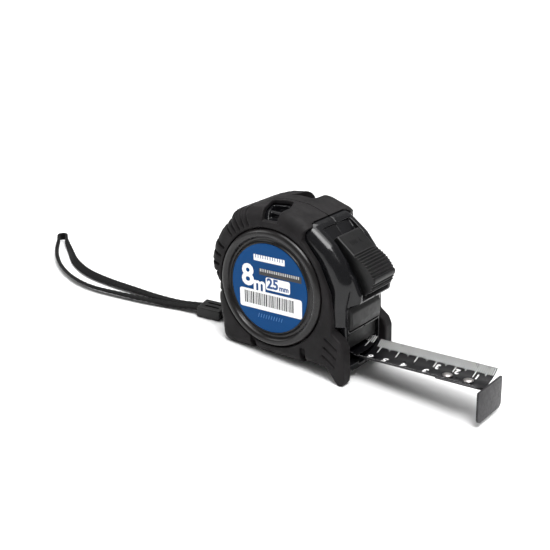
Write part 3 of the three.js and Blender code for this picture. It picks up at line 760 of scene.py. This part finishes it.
def case_shell():
    block = add(case_block(0), collar(), jaw())
    cavity = pebble([c[:2] for c in CASE_CORNERS], CASE_HALF - CASE_WALL, CASE_ROUNDING - CASE_WALL,
                    -CASE_WALL, 2)
    cut(cavity, box(FRONT_WALL_X, 60, -30, 30, -20, 30.5))
    shell = cut(copy(block), cavity)
    add(shell, meet(slot_walls(), copy(block)))
    add(shell, meet(window_cut(-WINDOW_FRAME, WINDOW_BACKING), copy(block)))
    add(shell, meet(box(-31, -21.5, -ANCHOR_HALF, ANCHOR_HALF, 8.6, 17.4), copy(block)))
    for x, z in SCREW_SPOTS:
        add(shell, meet(drum(BOSS_RADIUS, -17, 17, x, z), copy(block)))
    cut(shell, window_cut(WINDOW_FRAME, WINDOW_FLOOR))
    add(shell, meet(window_bar(), block))
    for x, z in SCREW_SPOTS:
        cut(shell, drum(SCREW_RADIUS + GAP, -12, 30, x, z), drum(SCREW_HEAD + GAP, 15, 30, x, z))
    return cut(
        shell,
        slot_cut(),
        stem_slot(),
        box(BLADE_START - BLADE_TRAVEL - 0.8, FRONT_WALL_X + 3, -MOUTH_HALF, MOUTH_HALF, 2, 8),
        box(15, 45, -HOOK_WAY_HALF, HOOK_WAY_HALF, 0.3, 4),
        box(MOUTH_X, 60, -MOUTH_HALF, MOUTH_HALF, 1.9, MOUTH_TOP),
        box(36.2, 60, 0.1 - MOUTH_HALF, MOUTH_HALF - 0.1, BUMPER_BOTTOM - GAP, BUMPER_TOP + GAP),
        box(-45, -24.6, -ANCHOR_NOTCH_HALF, ANCHOR_NOTCH_HALF, 9.6, 15.4),
        drum(PIN_RADIUS + GAP, -6.4, 6.4, PIN_X, PIN_Z),
        drum(POST_RADIUS + GAP, -POST_HALF - 0.2, POST_HALF + 0.2),
        drum(1.6 + GAP, 10, 30),
    )


# ---------------------------------------------------------------- rubber grips

LOBE_DEPTH = 1.25
RIDGE_DEPTH = 1.0
BELLY_RIB_DEPTH = 0.7
BELLY_NOTCH_DEPTH = 1.9
GRIP_VOXEL = 0.38
CASE_VOXEL = 0.42

def groove(x0, z0, x1, z1, radius, y0, y1):
    """A round-bottomed groove cutter lying in the side face from one point to another."""
    along = Vector((x1 - x0, z1 - z0)).normalized() * radius
    across = Vector((-along.y, along.x))
    a = Vector((x0, z0))
    b = Vector((x1, z1))
    corners = [a - across - along, b - across + along, b + across + along, a + across - along]
    return slab(outline([(c.x, c.y, radius * 0.95) for c in corners]), y0, y1)


def wrapping(cutters, depth):
    """Keeps the part of the cutters that lies within a depth of the grips' outer surface."""
    return cut(cutters, pebble(GRIP, GRIP_HALF - depth, GRIP_ROUNDING, -depth))


def spoke(angle, width, inner, y0, y1):
    """A radial wedge about the reel's axis, at an angle in degrees up from the rear."""
    arm = Vector((-math.cos(math.radians(angle)), math.sin(math.radians(angle))))
    across = Vector((-arm.y, arm.x)) * width / 2
    centre = Vector((0, REEL_HEIGHT))
    corners = [centre + arm * r + across * s for r, s in ((inner, -0.8), (44, -1.1), (44, 1.1), (inner, 0.8))]
    return slab(outline([(c.x, c.y, width * 0.3) for c in corners]), y0, y1)


def grip_details(rubber):
    """Grooves and ridges that give a hold on the rear, the top edge, the belly and the feet."""
    side = GRIP_HALF
    feet = repeated(groove(31.0, 15.6, 37.2, 11.2, 0.6, -side - 1, -side + 1.1), 3, (-0.7, 0, -4.3))
    cut(rubber, both_sides(feet))
    lobes = repeated(spoke(-14, 1.7, 30.8, -30, 30), 6, turn=math.radians(8.6))
    cut(rubber, wrapping(lobes, LOBE_DEPTH))
    top = repeated(spoke(45, 1.5, 30.6, -30, -13.5), 5, turn=math.radians(5.6))
    cut(rubber, both_sides(wrapping(top, RIDGE_DEPTH)))
    belly = repeated(drum(0.8, -30, 30, -7.2, -0.4, 20), 9, (2.6, 0, 0))
    cut(rubber, wrapping(belly, BELLY_RIB_DEPTH))
    notches = add(box(-12.6, -9.6, 13, 40, -20, 8), box(16.6, 19.6, 13, 40, -20, 8))
    cut(rubber, wrapping(both_sides(notches), BELLY_NOTCH_DEPTH))
    return rubber


def grip_pair():
    body = meet(pebble(GRIP, GRIP_HALF, GRIP_ROUNDING), prism(GRIP_FRONT, -40, 40))
    add(body, both_sides(slab(EAR, EAR_INNER, GRIP_HALF - 0.2, 0.8)))
    slope = math.atan2(HEEL_Z - FOOT_Z, FOOT_X - HEEL_X)
    floor = box(-150, 150, -50, 50, -40 + STAND_FLAT, STAND_FLAT)
    floor.data.transform(Matrix.Translation((FOOT_X, 0, FOOT_Z)) @ Matrix.Rotation(slope, 4, "Y"))
    rear_groove = prism(outline([(-27.8, 67.4), (-34, 60.8), (-26.6, 54.6), (-20.4, 61.6)]), -17.8, 17.8)
    cut(
        body,
        case_block(0.25),
        box(-26, 60, -BELLY_HALF, BELLY_HALF, -20, 3.4),
        box(33.5, 60, -EAR_INNER, EAR_INNER, -20, 22),
        both_sides(drum(BEZEL_RADIUS + GAP, 18, 40, segments=128)),
        window_cut(0, 66.6),
        rear_groove,
        box(-60, -24, -5, 5, 9, 16),
    )
    for x, z in SCREW_SPOTS:
        cut(body, drum(SCREW_HEAD + GAP, 10, 40, x, z))
    return cut(grip_details(body), floor)


def shells():
    rubber = grip_pair()
    plastic = case_shell()
    for side, word in ((-1, "right"), (1, "left")):
        grip = soften(half_of(rubber, side), GRIP_VOXEL, 2, 0.7)
        finish(grip, f"rubber_grip_{word}", RUBBER, "case", [f"grip_{word}"], 180)
        shell = soften(half_of(plastic, side), CASE_VOXEL, 3, 0.6)
        finish(shell, f"moulded_case_{word}", ABS, "case", [f"case_{word}"], 180)
    bpy.data.objects.remove(rubber)
    bpy.data.objects.remove(plastic)


shells()

# ---------------------------------------------------------------- rings and printed discs


def bezel(side, hole):
    seat = CASE_HALF + GAP
    ring = [(hole, LABEL_FACE - 1.9), (24, LABEL_FACE - 1.9), (25.2, seat), (BEZEL_RADIUS, seat),
            (BEZEL_RADIUS, 20.5), (28.9, 21.2), (28.65, 21.9), (28.3, 22.5), (27.8, 23.0), (27.2, 23.3),
            (26.6, BEZEL_RIM), (26.0, 23.3), (25.5, 23.05), (25.1, 22.65), (24.8, 22.15), (24.6, 21.6),
            (24.3, 21.3), (23.8, 21.25), (23.3, 21.4), (22.9, 21.7), (22.6, 22.05), (22.4, 22.3),
            (22.15, 22.35), (22.1, 21.9), (hole, 21.9)]
    return turned([(r, y * side) for r, y in ring], 160)


def disc(side, hole):
    back = LABEL_FACE - 0.3
    rim = [(hole, back), (LABEL_RADIUS, back), (LABEL_RADIUS, LABEL_FACE - 0.1),
           (LABEL_RADIUS - 0.1, LABEL_FACE), (hole, LABEL_FACE)]
    return turned([(r, y * side) for r, y in rim], 128)


HUB_HOLE = 2
RIGHT_DISC_HOLE = 0.5

for side, word, disc_hole in ((-1, "right", RIGHT_DISC_HOLE), (1, "left", HUB_HOLE)):
    finish(bezel(side, HUB_HOLE), f"turned_ring_{word}", TURNED, "case", [f"bezel_{word}"], 28)
    finish(disc(side, disc_hole), f"printed_disc_{word}", DISC, "case",
           [f"label_{word}"], 40)

# ---------------------------------------------------------------- print

PRINT_LIFT = 0.04


def letters(text, size, weight=0.0, spacing=1.0):
    """Flat lettering as a thin solid, lying in X and Y and centred on the origin."""
    curve = bpy.data.curves.new("lettering", "FONT")
    curve.body = text
    curve.size = size
    curve.offset = weight
    curve.space_character = spacing
    curve.extrude = PRINT_LIFT / 2
    curve.resolution_u = 3
    curve.align_x = "CENTER"
    curve.align_y = "CENTER"
    source = new_object("lettering", curve)
    graph = bpy.context.evaluated_depsgraph_get()
    mesh = bpy.data.meshes.new_from_object(source.evaluated_get(graph))
    bpy.data.objects.remove(source)
    item = new_object("work", mesh)
    with editing(mesh) as work:
        bmesh.ops.remove_doubles(work, verts=work.verts, dist=1e-4)
    return item


def patch(points):
    """A flat printed area, lying in X and Y."""
    return layered([[(p[0], p[1], z) for p in points] for z in (-PRINT_LIFT / 2, PRINT_LIFT / 2)])


def rounded_patch(x0, x1, y0, y1, radius):
    return patch(outline([(x0, y0, radius), (x1, y0, radius), (x1, y1, radius), (x0, y1, radius)]))


def on_disc(item, x, z, lift):
    """Lays flat print on the right disc: its X runs forwards and its Y up."""
    place = Matrix.Translation((x, -(LABEL_FACE + lift), REEL_HEIGHT + z))
    item.data.transform(place @ Matrix.Rotation(math.radians(90), 4, "X"))
    return item


def joined(items):
    """Several pieces of print as one object, each keeping its own material."""
    with bpy.context.temp_override(active_object=items[0], selected_editable_objects=items,
                                   selected_objects=items):
        bpy.ops.object.join()
    return items[0]


def disc_print():
    parts = []

    def put(item, material, x, z, layer=0):
        parts.append(painted(on_disc(item, x, z, PRINT_LIFT / 2 + layer * PRINT_LIFT), material))

    def row(corners, count, pitch, material, x, z, layer=0):
        put(repeated(patch(corners), count, (pitch, 0, 0), material=material), material, x, z, layer)

    put(rounded_patch(-17.8, 18.4, -4.7, 4.7, 1.2), PRINT_WHITE, 0.4, -6.9)
    put(rounded_patch(-7, 7, -3.1, 3.1, 1.0), PRINT_WHITE, 5.2, 2.3)
    put(rounded_patch(-12.2, 12.2, -1.6, 1.6, 0.3), PRINT_BLACK, 6.6, 7.6)
    put(letters("8", 14.6, 0.42), PRINT_WHITE, -12.4, 4.2)
    put(letters("m", 9.6, 0.3), PRINT_WHITE, -5.6, 1.0)
    put(letters("25", 6.8, 0.24), PRINT_BLUE, 2.2, 2.3, 1)
    put(letters("mm", 3.6, 0.14), PRINT_BLUE, 8.7, 1.2, 1)
    x = -14.6
    for i in range(30):
        width = 0.28 + 0.16 * ((i * 5 + 2) % 4)
        put(patch([(0, -3.2), (width, -3.2), (width, 2.9), (0, 2.9)]), PRINT_BLACK, x, -6.2, 1)
        x += width + 0.3 + 0.14 * ((i * 3 + 1) % 3)
    row([(-0.14, -0.7), (0.14, -0.7), (0.14, 0.7), (-0.14, 0.7)], 22, 1.05, PRINT_WHITE, -4.8, 8.4, 1)
    put(rounded_patch(-9, 9, -1.5, 1.5, 0.4), PRINT_WHITE, 0.4, 14.2)
    row([(-0.2, -0.8), (0.2, -0.8), (0.2, 0.8), (-0.2, 0.8)], 12, 1.4, PRINT_BLUE, -7.3, 14.9, 1)
    row([(-0.3, -1), (0.1, -1), (0.7, 1), (0.3, 1)], 10, 1.5, PRINT_PALE_BLUE, -6.6, -14.6)
    finish(joined(parts), "disc_print_right", None, "case", limit=30)


disc_print()

# ---------------------------------------------------------------- lock button

THUMB_CENTRE = (-4.3, SLOT_FLOOR - 6.4)
THUMB_RADIUS = 18.4
THUMB_START = -13.5
THUMB_END = 2.0


def thumb_point(s, lift=0.0):
    """A place on the arched part of the button, at a distance along the slide."""
    return (s, THUMB_CENTRE[1] + math.sqrt((THUMB_RADIUS + lift) ** 2 - (s - THUMB_CENTRE[0]) ** 2))


def button_ribs():
    """Round-bottomed grooves over the arched part of the button and down its front."""
    radius = 0.62
    sink = 0.12
    pitch = 1.62
    x, z, _ = on_slide([thumb_point(THUMB_START + 1, -sink)])[0]
    pivot = on_slide([THUMB_CENTRE])[0]
    arched = repeated(drum(radius, -BUTTON_HALF - 1, BUTTON_HALF + 1, x, z, 16), 9,
                      turn=pitch / THUMB_RADIUS, pivot=(pivot[0], 0, pivot[1]))
    first = Vector(on_slide([(THUMB_END + 1.1, SLOT_FLOOR + 9.0)])[0][:2])
    last = Vector(on_slide([(BUTTON_FRONT - 0.35, SLOT_FLOOR + 6.2)])[0][:2])
    step = (last - first) / 2
    front = repeated(drum(radius, -BUTTON_HALF - 1, BUTTON_HALF + 1, first.x, first.y, 16), 3,
                     (step.x, 0, step.y))
    return add(arched, front)


def button_marks():
    """Raised lines and an arrow on the button, above its ribs."""
    lines = repeated(box(-0.14, 0.14, -0.3, 0.12, -1.1, 1.1), 5, (1.1, 0, 0))
    arrow = prism([(-3.4, -1.3), (-2.2, 0), (-2.9, 0), (-2.9, 1.3), (-3.9, 1.3), (-3.9, 0), (-4.6, 0)],
                  -0.3, 0.12)
    marks = add(lines, arrow)
    arch_start = thumb_point(THUMB_START)[1] - SLOT_FLOOR
    slope = math.atan2(arch_start - 8, THUMB_START - BUTTON_REAR)
    down = SLIDE_DOWN * math.cos(slope) + SLIDE_NORMAL * math.sin(slope)
    out = SLIDE_NORMAL * math.cos(slope) - SLIDE_DOWN * math.sin(slope)
    # X across the button, Y out of its face, Z up its slope
    basis = Matrix(((0, out.x, -down.x), (-1, 0, 0), (0, out.y, -down.y)))
    place = SLIDE_DOWN * -19 + SLIDE_NORMAL * (SLOT_FLOOR + 8 + math.tan(slope) * (-19 - BUTTON_REAR))
    marks.data.transform(Matrix.Translation((place.x, 0, place.y)) @ basis.to_4x4())
    return marks


def button():
    arch = [thumb_point(THUMB_START + (THUMB_END - THUMB_START) * i / 16) for i in range(17)]
    body = slab(outline(on_slide([
        (HEEL_STEP, SLOT_FLOOR + 0.4), (HEEL_STEP, SLOT_FLOOR + 4.4), (BUTTON_REAR, SLOT_FLOOR + 4.7),
        (BUTTON_REAR, SLOT_FLOOR + 8, 1), *arch, (BUTTON_FRONT, SLOT_FLOOR + 6.2, 3),
        (BUTTON_FRONT - 0.6, SLOT_FLOOR + 0.4, 1)])), -BUTTON_HALF, BUTTON_HALF, 0.8)
    return cut(body, button_ribs())


finish(soften(button(), 0.17, 2, 0.6), "ribbed_button", BUTTON, "lock", ["lock_button"], 180)
finish(button_marks(), "button_marks", BUTTON, "lock", limit=30)

# ---------------------------------------------------------------- nose, guide and small fixings


def nose():
    return slab(outline([(36.5, BUMPER_BOTTOM), (39, BUMPER_BOTTOM, 1), (39.8, BUMPER_BOTTOM + 3.4, 2),
                         (39.8, BUMPER_TOP - 2.9, 2), (38.4, BUMPER_TOP, 1), (36.5, BUMPER_TOP)]),
                -FITTED_HALF, FITTED_HALF, 0.8, 5)


finish(nose(), "nose_bumper_moulding", NYLON, "case", ["nose_bumper"], 40)
guide = round_edges(box(MOUTH_X + GAP, MOUTH_X + 1.4, -FITTED_HALF, FITTED_HALF, 8.4, 15.8), 0.25)
finish(guide, "mouth_guide", NYLON_BLACK, "case", ["blade_guide"], 40)


def cross_head(profile, x, z, radius, top):
    """A turned screw with a cross recess in its head."""
    body = turned(profile, 48, x, z)
    for turn in (0, 1):
        long, short = (radius * 0.62, radius * 0.16) if turn else (radius * 0.16, radius * 0.62)
        cut(body, box(x - long, x + long, top - 0.9, top + 2, z - short, z + short))
    return body


for i, (x, z) in enumerate(SCREW_SPOTS):
    profile = [(0, -11), (SCREW_RADIUS, -11), (SCREW_RADIUS, 15.3), (2.6, 15.3), (2.55, 16.3), (2.1, 17.0),
               (1.2, 17.35), (0, 17.4)]
    finish(cross_head(profile, x, z, 2.6, 17.4), f"cross_screw_{i + 1}", PLATED, "case",
           [f"case_screw_{i + 1}"], 30)

seat = LABEL_FACE + GAP + CLIP_THICKNESS + GAP
profile = [(0, 7), (1.3, 7), (1.3, seat), (2.9, seat), (2.85, seat + 0.6), (2.4, seat + 1.05),
           (1.3, seat + 1.28), (0, seat + 1.3)]
finish(cross_head(profile, 0, REEL_HEIGHT, 2.9, seat + 1.3), "clip_cross_screw", PLATED, "case",
       ["clip_screw"], 30)


def belt_clip():
    """One bent strip, screwed down at the ring's middle, with its tip flared outwards."""
    back = LABEL_FACE + GAP
    face = BEZEL_RIM + CLIP_GAP
    corners = [(back, REEL_HEIGHT + 9), (back, REEL_HEIGHT - 8), (back + CLIP_THICKNESS, REEL_HEIGHT - 8),
               (back + CLIP_THICKNESS, REEL_HEIGHT + 8), (face, REEL_HEIGHT + 11, 1),
               (face, REEL_HEIGHT - 19, 2),
               (face + 1.6, REEL_HEIGHT - 24), (face + 2.4, REEL_HEIGHT - 24),
               (face + CLIP_THICKNESS, REEL_HEIGHT - 18, 2), (face + CLIP_THICKNESS, REEL_HEIGHT + 11.6, 0.7),
               (face, REEL_HEIGHT + 12.2, 0.5)]
    points = outline(corners)
    item = layered([[(x, y, z) for y, z in points] for x in (-CLIP_WIDTH / 2, CLIP_WIDTH / 2)])
    cut(item, drum(1.6 + GAP, 20, 26), drum(3.4, face - 1, 40))
    return round_edges(item, 0.18, 3, 50)


finish(belt_clip(), "bent_belt_clip", PLATED, "case", ["belt_clip"], 35)

# ---------------------------------------------------------------- blade, scale, rivets and hook

RIVET_SPOTS = [HOOK_X - 10, HOOK_X - 20.5]
RIVET_RADIUS = 1.2
RIVET_HEAD = 2.4
TAB_TOP = BLADE_BOTTOM - GAP
TAB_THICKNESS = 0.6
TAB_HALF = 3.4


def cup_point(x, across, depth):
    """A place on the cupped blade: across is measured flat, depth below its upper face."""
    angle = across / BLADE_CUP_RADIUS
    radius = BLADE_CUP_RADIUS - BLADE_THICKNESS + depth
    return (x, radius * math.sin(angle), BLADE_BOTTOM + BLADE_CUP_RADIUS - radius * math.cos(angle))


def blade_section(steps):
    """Places across the strip and below its upper face, once round: under it and then over it."""
    across = [BLADE_WIDTH * (i / steps - 0.5) for i in range(steps + 1)]
    return [(a, BLADE_THICKNESS) for a in across] + [(a, 0) for a in reversed(across)]


def blade_strip():
    ends = (BLADE_START, HOOK_X - HOOK_PLAY - GAP)
    item = layered([[cup_point(x, a, d) for a, d in blade_section(32)] for x in ends])
    holes = [upright(RIVET_RADIUS + GAP, x, 0, 10) for x in RIVET_SPOTS]
    small = [upright(0.6, RIVET_SPOTS[1] + 4.6, 0, 10, 16), upright(0.45, RIVET_SPOTS[1] + 6.3, 0, 10, 16)]
    return cut(item, *holes, *small)


RUN_LENGTH = BLADE_START - 0.5
RUN_LIFT = 0.5


def run_point(x, across, depth):
    """A place on the blade between the coil and the mouth, where it is still gathering its cup."""
    radius = BLADE_CUP_RADIUS / max(MOUTH_CUP * (x / RUN_LENGTH) ** 2, 0.02)
    angle = across / radius
    arm = radius - BLADE_THICKNESS + depth
    full_sag = BLADE_CUP_RADIUS * (1 - math.cos(BLADE_WIDTH / BLADE_CUP_RADIUS / 2))
    sag = radius * (1 - math.cos(BLADE_WIDTH / radius / 2))
    lowest = BLADE_BOTTOM + BLADE_THICKNESS + RUN_LIFT + full_sag - sag
    return (x, arm * math.sin(angle), lowest + radius - arm * math.cos(angle))


def blade_run():
    """The strip that leaves the coil flat and is nearly fully cupped at the mouth."""
    steps = 24
    places = [RUN_LENGTH * k / steps for k in range(steps + 1)]
    return layered([[run_point(x, a, d) for a, d in blade_section(steps)] for x in places])


def curl(item, onto=cup_point):
    """Bends flat print (X along the blade, Y across it, Z its thickness) on to the cupped blade."""
    with editing(item.data) as work:
        for i in range(-24, 25):
            geometry = work.verts[:] + work.edges[:] + work.faces[:]
            bmesh.ops.bisect_plane(work, geom=geometry, plane_co=(0, i * 0.5, 0), plane_no=(0, 1, 0))
        for vert in work.verts:
            vert.co = Vector(onto(vert.co.x, vert.co.y, -PRINT_LIFT / 2 - vert.co.z))
        bmesh.ops.recalc_face_normals(work, faces=work.faces)
    return item


def tick_row(first, pitch, count, edge, length, width=0.32):
    """Ticks across the blade from an edge line, stepping away from the hook."""
    inner = edge - math.copysign(length, edge)
    bar = patch([(first - width / 2, edge), (first + width / 2, edge), (first + width / 2, inner),
                 (first - width / 2, inner)])
    return repeated(bar, count, (-pitch, 0, 0), material=PRINT_WHITE)


SCALE_EDGE = 12.3  # where the ticks start, measured flat from the middle


def printed_white(parts, onto=cup_point):
    """Joins white print into one piece and bends it on to the blade."""
    for part in parts:
        painted(part, PRINT_WHITE)
    return curl(joined(parts), onto)


def figure(number, size, weight, from_hook, y):
    """A figure that reads from the far side of the blade."""
    item = letters(str(number), size, weight)
    place = Matrix.Translation((HOOK_X + from_hook, y, 0))
    item.data.transform(place @ Matrix.Rotation(math.pi, 4, "Z"))
    return item


def blade_scale():
    """Millimetre ticks and centimetre figures, read from the far side."""
    zero = HOOK_X
    start = zero - HOOK_PLAY
    near = -SCALE_EDGE
    parts = [
        tick_row(zero - 2, 1, 61, SCALE_EDGE, 4.2),
        tick_row(zero - 5, 10, 6, SCALE_EDGE, 5.4),
        tick_row(zero - 10, 10, 6, SCALE_EDGE, 8.2, 0.34),
        tick_row(zero - 24, 1, 39, near, 1.7, 0.3),
        tick_row(zero - 50, 10, 2, near, 4.6, 0.34),
    ]
    parts += [figure(i, 4.6, 0.1, -10 * i + 1.9, 5.1) for i in (1, 2, 3)]
    parts += [figure(i, 5.4, 0.12, -x, -0.6) for i, x in ((3, 31.5), (4, 43), (5, 53), (6, 61))]
    parts.append(patch([(start - 1, near), (start - 62, near), (start - 62, near - 0.15),
                        (start - 1, near - 0.15)]))
    return printed_white(parts)


def run_scale():
    """The scale goes on into the mouth."""
    start = RUN_LENGTH - 0.4
    parts = [
        tick_row(start, 1, 6, SCALE_EDGE, 4.2),
        tick_row(start - 2, 10, 1, SCALE_EDGE, 8.2),
        tick_row(start, 1, 6, -SCALE_EDGE, 1.7),
    ]
    return printed_white(parts, run_point)


def rivet(x):
    under = TAB_TOP - TAB_THICKNESS - GAP
    top = BLADE_BOTTOM + BLADE_THICKNESS + GAP
    dome = [(RIVET_HEAD * math.cos(a), top + 0.12 + 0.68 * math.sin(a)) for a in
            [math.pi / 2 * k / 8 for k in range(9)]]
    profile = [(0, under - 0.4), (RIVET_HEAD - 0.4, under - 0.4), (RIVET_HEAD - 0.4, under),
               (RIVET_RADIUS, under), (RIVET_RADIUS, top), (RIVET_HEAD, top)] + dome
    item = turned(profile, 40, 0, 0)
    item.data.transform(Matrix.Translation((x, 0, 0)) @ Matrix.Rotation(math.radians(90), 4, "X"))
    return item


def end_hook():
    top = BLADE_BOTTOM + 1.45
    half = HOOK_WIDTH / 2
    corners = outline([(-half, top, 0.6), (-half, top - HOOK_HEIGHT, 2.6), (half, top - HOOK_HEIGHT, 2.6),
                       (half, top, 0.6)])
    plate = layered([[(x, y, z) for y, z in corners] for x in (HOOK_X, HOOK_X + HOOK_THICKNESS)])
    add(plate, box(HOOK_X - 25, HOOK_X + 0.5, -TAB_HALF, TAB_HALF, TAB_TOP - TAB_THICKNESS, TAB_TOP))
    for x in RIVET_SPOTS:
        radius = RIVET_RADIUS + 0.2
        slot = add(upright(radius, x, 0, 6), upright(radius, x + HOOK_PLAY, 0, 6),
                   box(x, x + HOOK_PLAY, -radius, radius, 0, 6))
        cut(plate, slot)
    return round_edges(plate, 0.16, 3, 50)


finish(blade_strip(), "cupped_blade", LACQUER, "blade", ["blade"], 30)
finish(blade_scale(), "blade_scale", None, "blade", limit=30)
finish(blade_run(), "cupping_run", LACQUER, "case", ["blade_run"], 30)
finish(run_scale(), "run_scale", None, "case", limit=30)
for i, x in enumerate(RIVET_SPOTS):
    finish(rivet(x), f"domed_rivet_{i + 1}", PLATED, "blade", [f"rivet_{i + 1}"], 35)
finish(end_hook(), "pressed_hook", COATED, "hook", ["end_hook"], 35)

# ---------------------------------------------------------------- wrist strap and slider

STRAP_POINTS = [
    (-66.5, -5.2, 10.6), (-70.5, -6.6, 6.6), (-76, -8.2, 3.2), (-90, -11.8, 2.9), (-101, -15, 1.6),
    (-115, -20.6, 1.6), (-131, -25.5, 1.6), (-150, -29.6, 1.6), (-166, -27.4, 1.6), (-182, -20.4, 1.6),
    (-196, -10, 1.6), (-206, 0.5, 2.2), (-210.4, 5.6, 2.6), (-208.4, 8.4, 2.6), (-203.6, 4.6, 2.2),
    (-192, -3.4, 1.6), (-178, -12.6, 1.6), (-163, -17.8, 1.6), (-148, -18.4, 1.6), (-131, -16.6, 1.6),
    (-115, -14.6, 1.6), (-101, -10.8, 1.6), (-90, -7.6, 2.9), (-76, -4, 3.2), (-70.5, -2.4, 6.6),
    (-66.5, -0.8, 10.6),
]
BRAID_WIDTH = 4.6
BRAID_HALF_THICK = 0.9
BRAID_STEP = 0.45
SLIDER_TURN = 14.5  # degrees


def curve_point(p, share):
    """A point between the middle two of four, on the centripetal curve through them all."""
    knots = [0.0]
    for a, b in zip(p, p[1:]):
        knots.append(knots[-1] + math.sqrt((b - a).length))
    t = knots[1] + (knots[2] - knots[1]) * share

    def mix(a, b, start, end):
        return (a * (knots[end] - t) + b * (t - knots[start])) / (knots[end] - knots[start])

    first, second, third = (mix(p[i], p[i + 1], i, i + 1) for i in range(3))
    return mix(mix(first, second, 0, 2), mix(second, third, 1, 3), 1, 2)


def smooth_path(points, step):
    """Evenly spaced points on a curve through the given ones."""
    points = [Vector(p) for p in points]
    ends = [points[0] * 2 - points[1]] + points + [points[-1] * 2 - points[-2]]
    fine = [curve_point(ends[i:i + 4], k / 24) for i in range(len(points) - 1) for k in range(24)]
    fine.append(points[-1])
    lengths = [0.0]
    for a, b in zip(fine, fine[1:]):
        lengths.append(lengths[-1] + (b - a).length)
    count = round(lengths[-1] / step)
    even = []
    j = 0
    for k in range(count + 1):
        target = lengths[-1] * k / count
        while j < len(lengths) - 2 and lengths[j + 1] < target:
            j += 1
        share = (target - lengths[j]) / (lengths[j + 1] - lengths[j])
        even.append(fine[j].lerp(fine[j + 1], min(max(share, 0), 1)))
    return even


def braid():
    """The flat braid: it lies flat at the slider and turns up on edge round the loop's end."""
    path = smooth_path(STRAP_POINTS, BRAID_STEP)
    around = 20
    rings = []
    for k, point in enumerate(path):
        ahead = path[min(k + 1, len(path) - 1)] - path[max(k - 1, 0)]
        side = Vector((-ahead.y, ahead.x, 0)).normalized()
        share = 1 - abs(2 * k / (len(path) - 1) - 1)
        lean = math.radians(90) * min(1, max(0, share - 0.25) / 0.7) ** 1.6
        wide = side * math.cos(lean) + Vector((0, 0, 1)) * math.sin(lean)
        thick = ahead.normalized().cross(wide)
        ring = []
        for j in range(around):
            angle = 2 * math.pi * j / around
            across = math.copysign(abs(math.cos(angle)) ** 0.7, math.cos(angle))
            proud = math.copysign(abs(math.sin(angle)) ** 0.7, math.sin(angle))
            plait = abs(math.sin(k * 0.42 + across * 3.2)) * abs(math.cos(k * 0.42 - across * 3.2))
            rise = BRAID_HALF_THICK * proud * (0.82 + 0.3 * plait)
            ring.append(point + wide * (across * BRAID_WIDTH / 2) + thick * rise)
        rings.append(ring)
    item = layered(rings)
    low = min(v.co.z for v in item.data.vertices)
    if low < 0.05:
        for vert in item.data.vertices:
            vert.co.z += (0.05 - low) * max(0, 1 - vert.co.z / 12)
    item.data.transform(Matrix.Scale(MM, 4))
    return item, [tuple(p * MM) for p in path]


def slider():
    """A moulded block the two strands run through, with two short slots on top."""
    item = slab(outline([(-6.5, -2.8, 1), (6.5, -2.8, 1), (6.5, 2.8, 1), (-6.5, 2.8, 1)]), -5.8, 5.8, 0.7)
    cut(item, box(-10, 10, -4, 4, -1.8, 1.9), both_sides(box(-3.4, 4.2, 1.2, 2.6, 1, 4)))
    return item


block = soften(slider(), 0.16, 3, 0.5)
low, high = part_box("strap_slider")
middle = (Vector(low) + Vector(high)) / 2
block.data.transform(Matrix.Translation(middle) @ Matrix.Rotation(math.radians(SLIDER_TURN), 4, "Z")
                     @ Matrix.Scale(MM, 4))
finish(block, "strap_slider_block", NYLON_BLACK, "case", ["strap_slider"], 180, placed=True)

strap, route = braid()
finish(strap, "braid_strap", YARN, "case", ["wrist_strap"], 180, placed=True)

# ---------------------------------------------------------------- inner parts keep their solids

for node, material in (("centre_post", SPRING), ("strap_pin", SPRING), ("mainspring", SPRING),
                       ("reel_drum", NYLON_BLACK), ("drum_cover", NYLON_BLACK), ("lock_lever", NYLON_BLACK),
                       ("blade_coil", LACQUER), ("brake_pad", RUBBER)):
    for slot in frame["nodes"][node].material_slots:
        slot.material = material

# ---------------------------------------------------------------- floor and light


FLOOR_REACH = 2600
WORLD_STRENGTH = 0.3


def studio():
    floor = box(-FLOOR_REACH, FLOOR_REACH, -FLOOR_REACH, FLOOR_REACH, -6, 0)
    floor.name = "floor"
    floor.data.transform(Matrix.Scale(MM, 4))
    paper = Finish("floor_paper")
    paper.colours(paper.noise(3, 2), (0.86, 0.86, 0.86), (0.9, 0.9, 0.9))
    paper.shader.inputs["Roughness"].default_value = 0.9
    floor.data.materials.append(paper.material)
    world = bpy.data.worlds.new("studio")
    bpy.context.scene.world = world
    world.use_nodes = True
    world.node_tree.nodes["Background"].inputs["Color"].default_value = (1, 1, 1, 1)
    world.node_tree.nodes["Background"].inputs["Strength"].default_value = WORLD_STRENGTH
    lamps = (("key", (0.35, -0.3, 1.0), 0.5, 8), ("top", (-0.2, 0.5, 1.0), 0.6, 5),
             ("side", (-0.9, -0.5, 0.6), 0.5, 3), ("sky", (0.1, -0.1, 1.2), None, 2.2))
    for name, place, size, power in lamps:
        data = bpy.data.lights.new(name, "AREA" if size else "SUN")
        if size:
            data.size = size
        else:
            data.angle = math.radians(50)
        data.energy = power
        lamp = bpy.data.objects.new(name, data)
        lamp.location = place
        lamp.rotation_euler = (Vector((0, 0, 0.03)) - Vector(place)).to_track_quat("-Z", "Y").to_euler()
        bpy.context.scene.collection.objects.link(lamp)
    bpy.context.scene.view_settings.view_transform = "Standard"


studio()
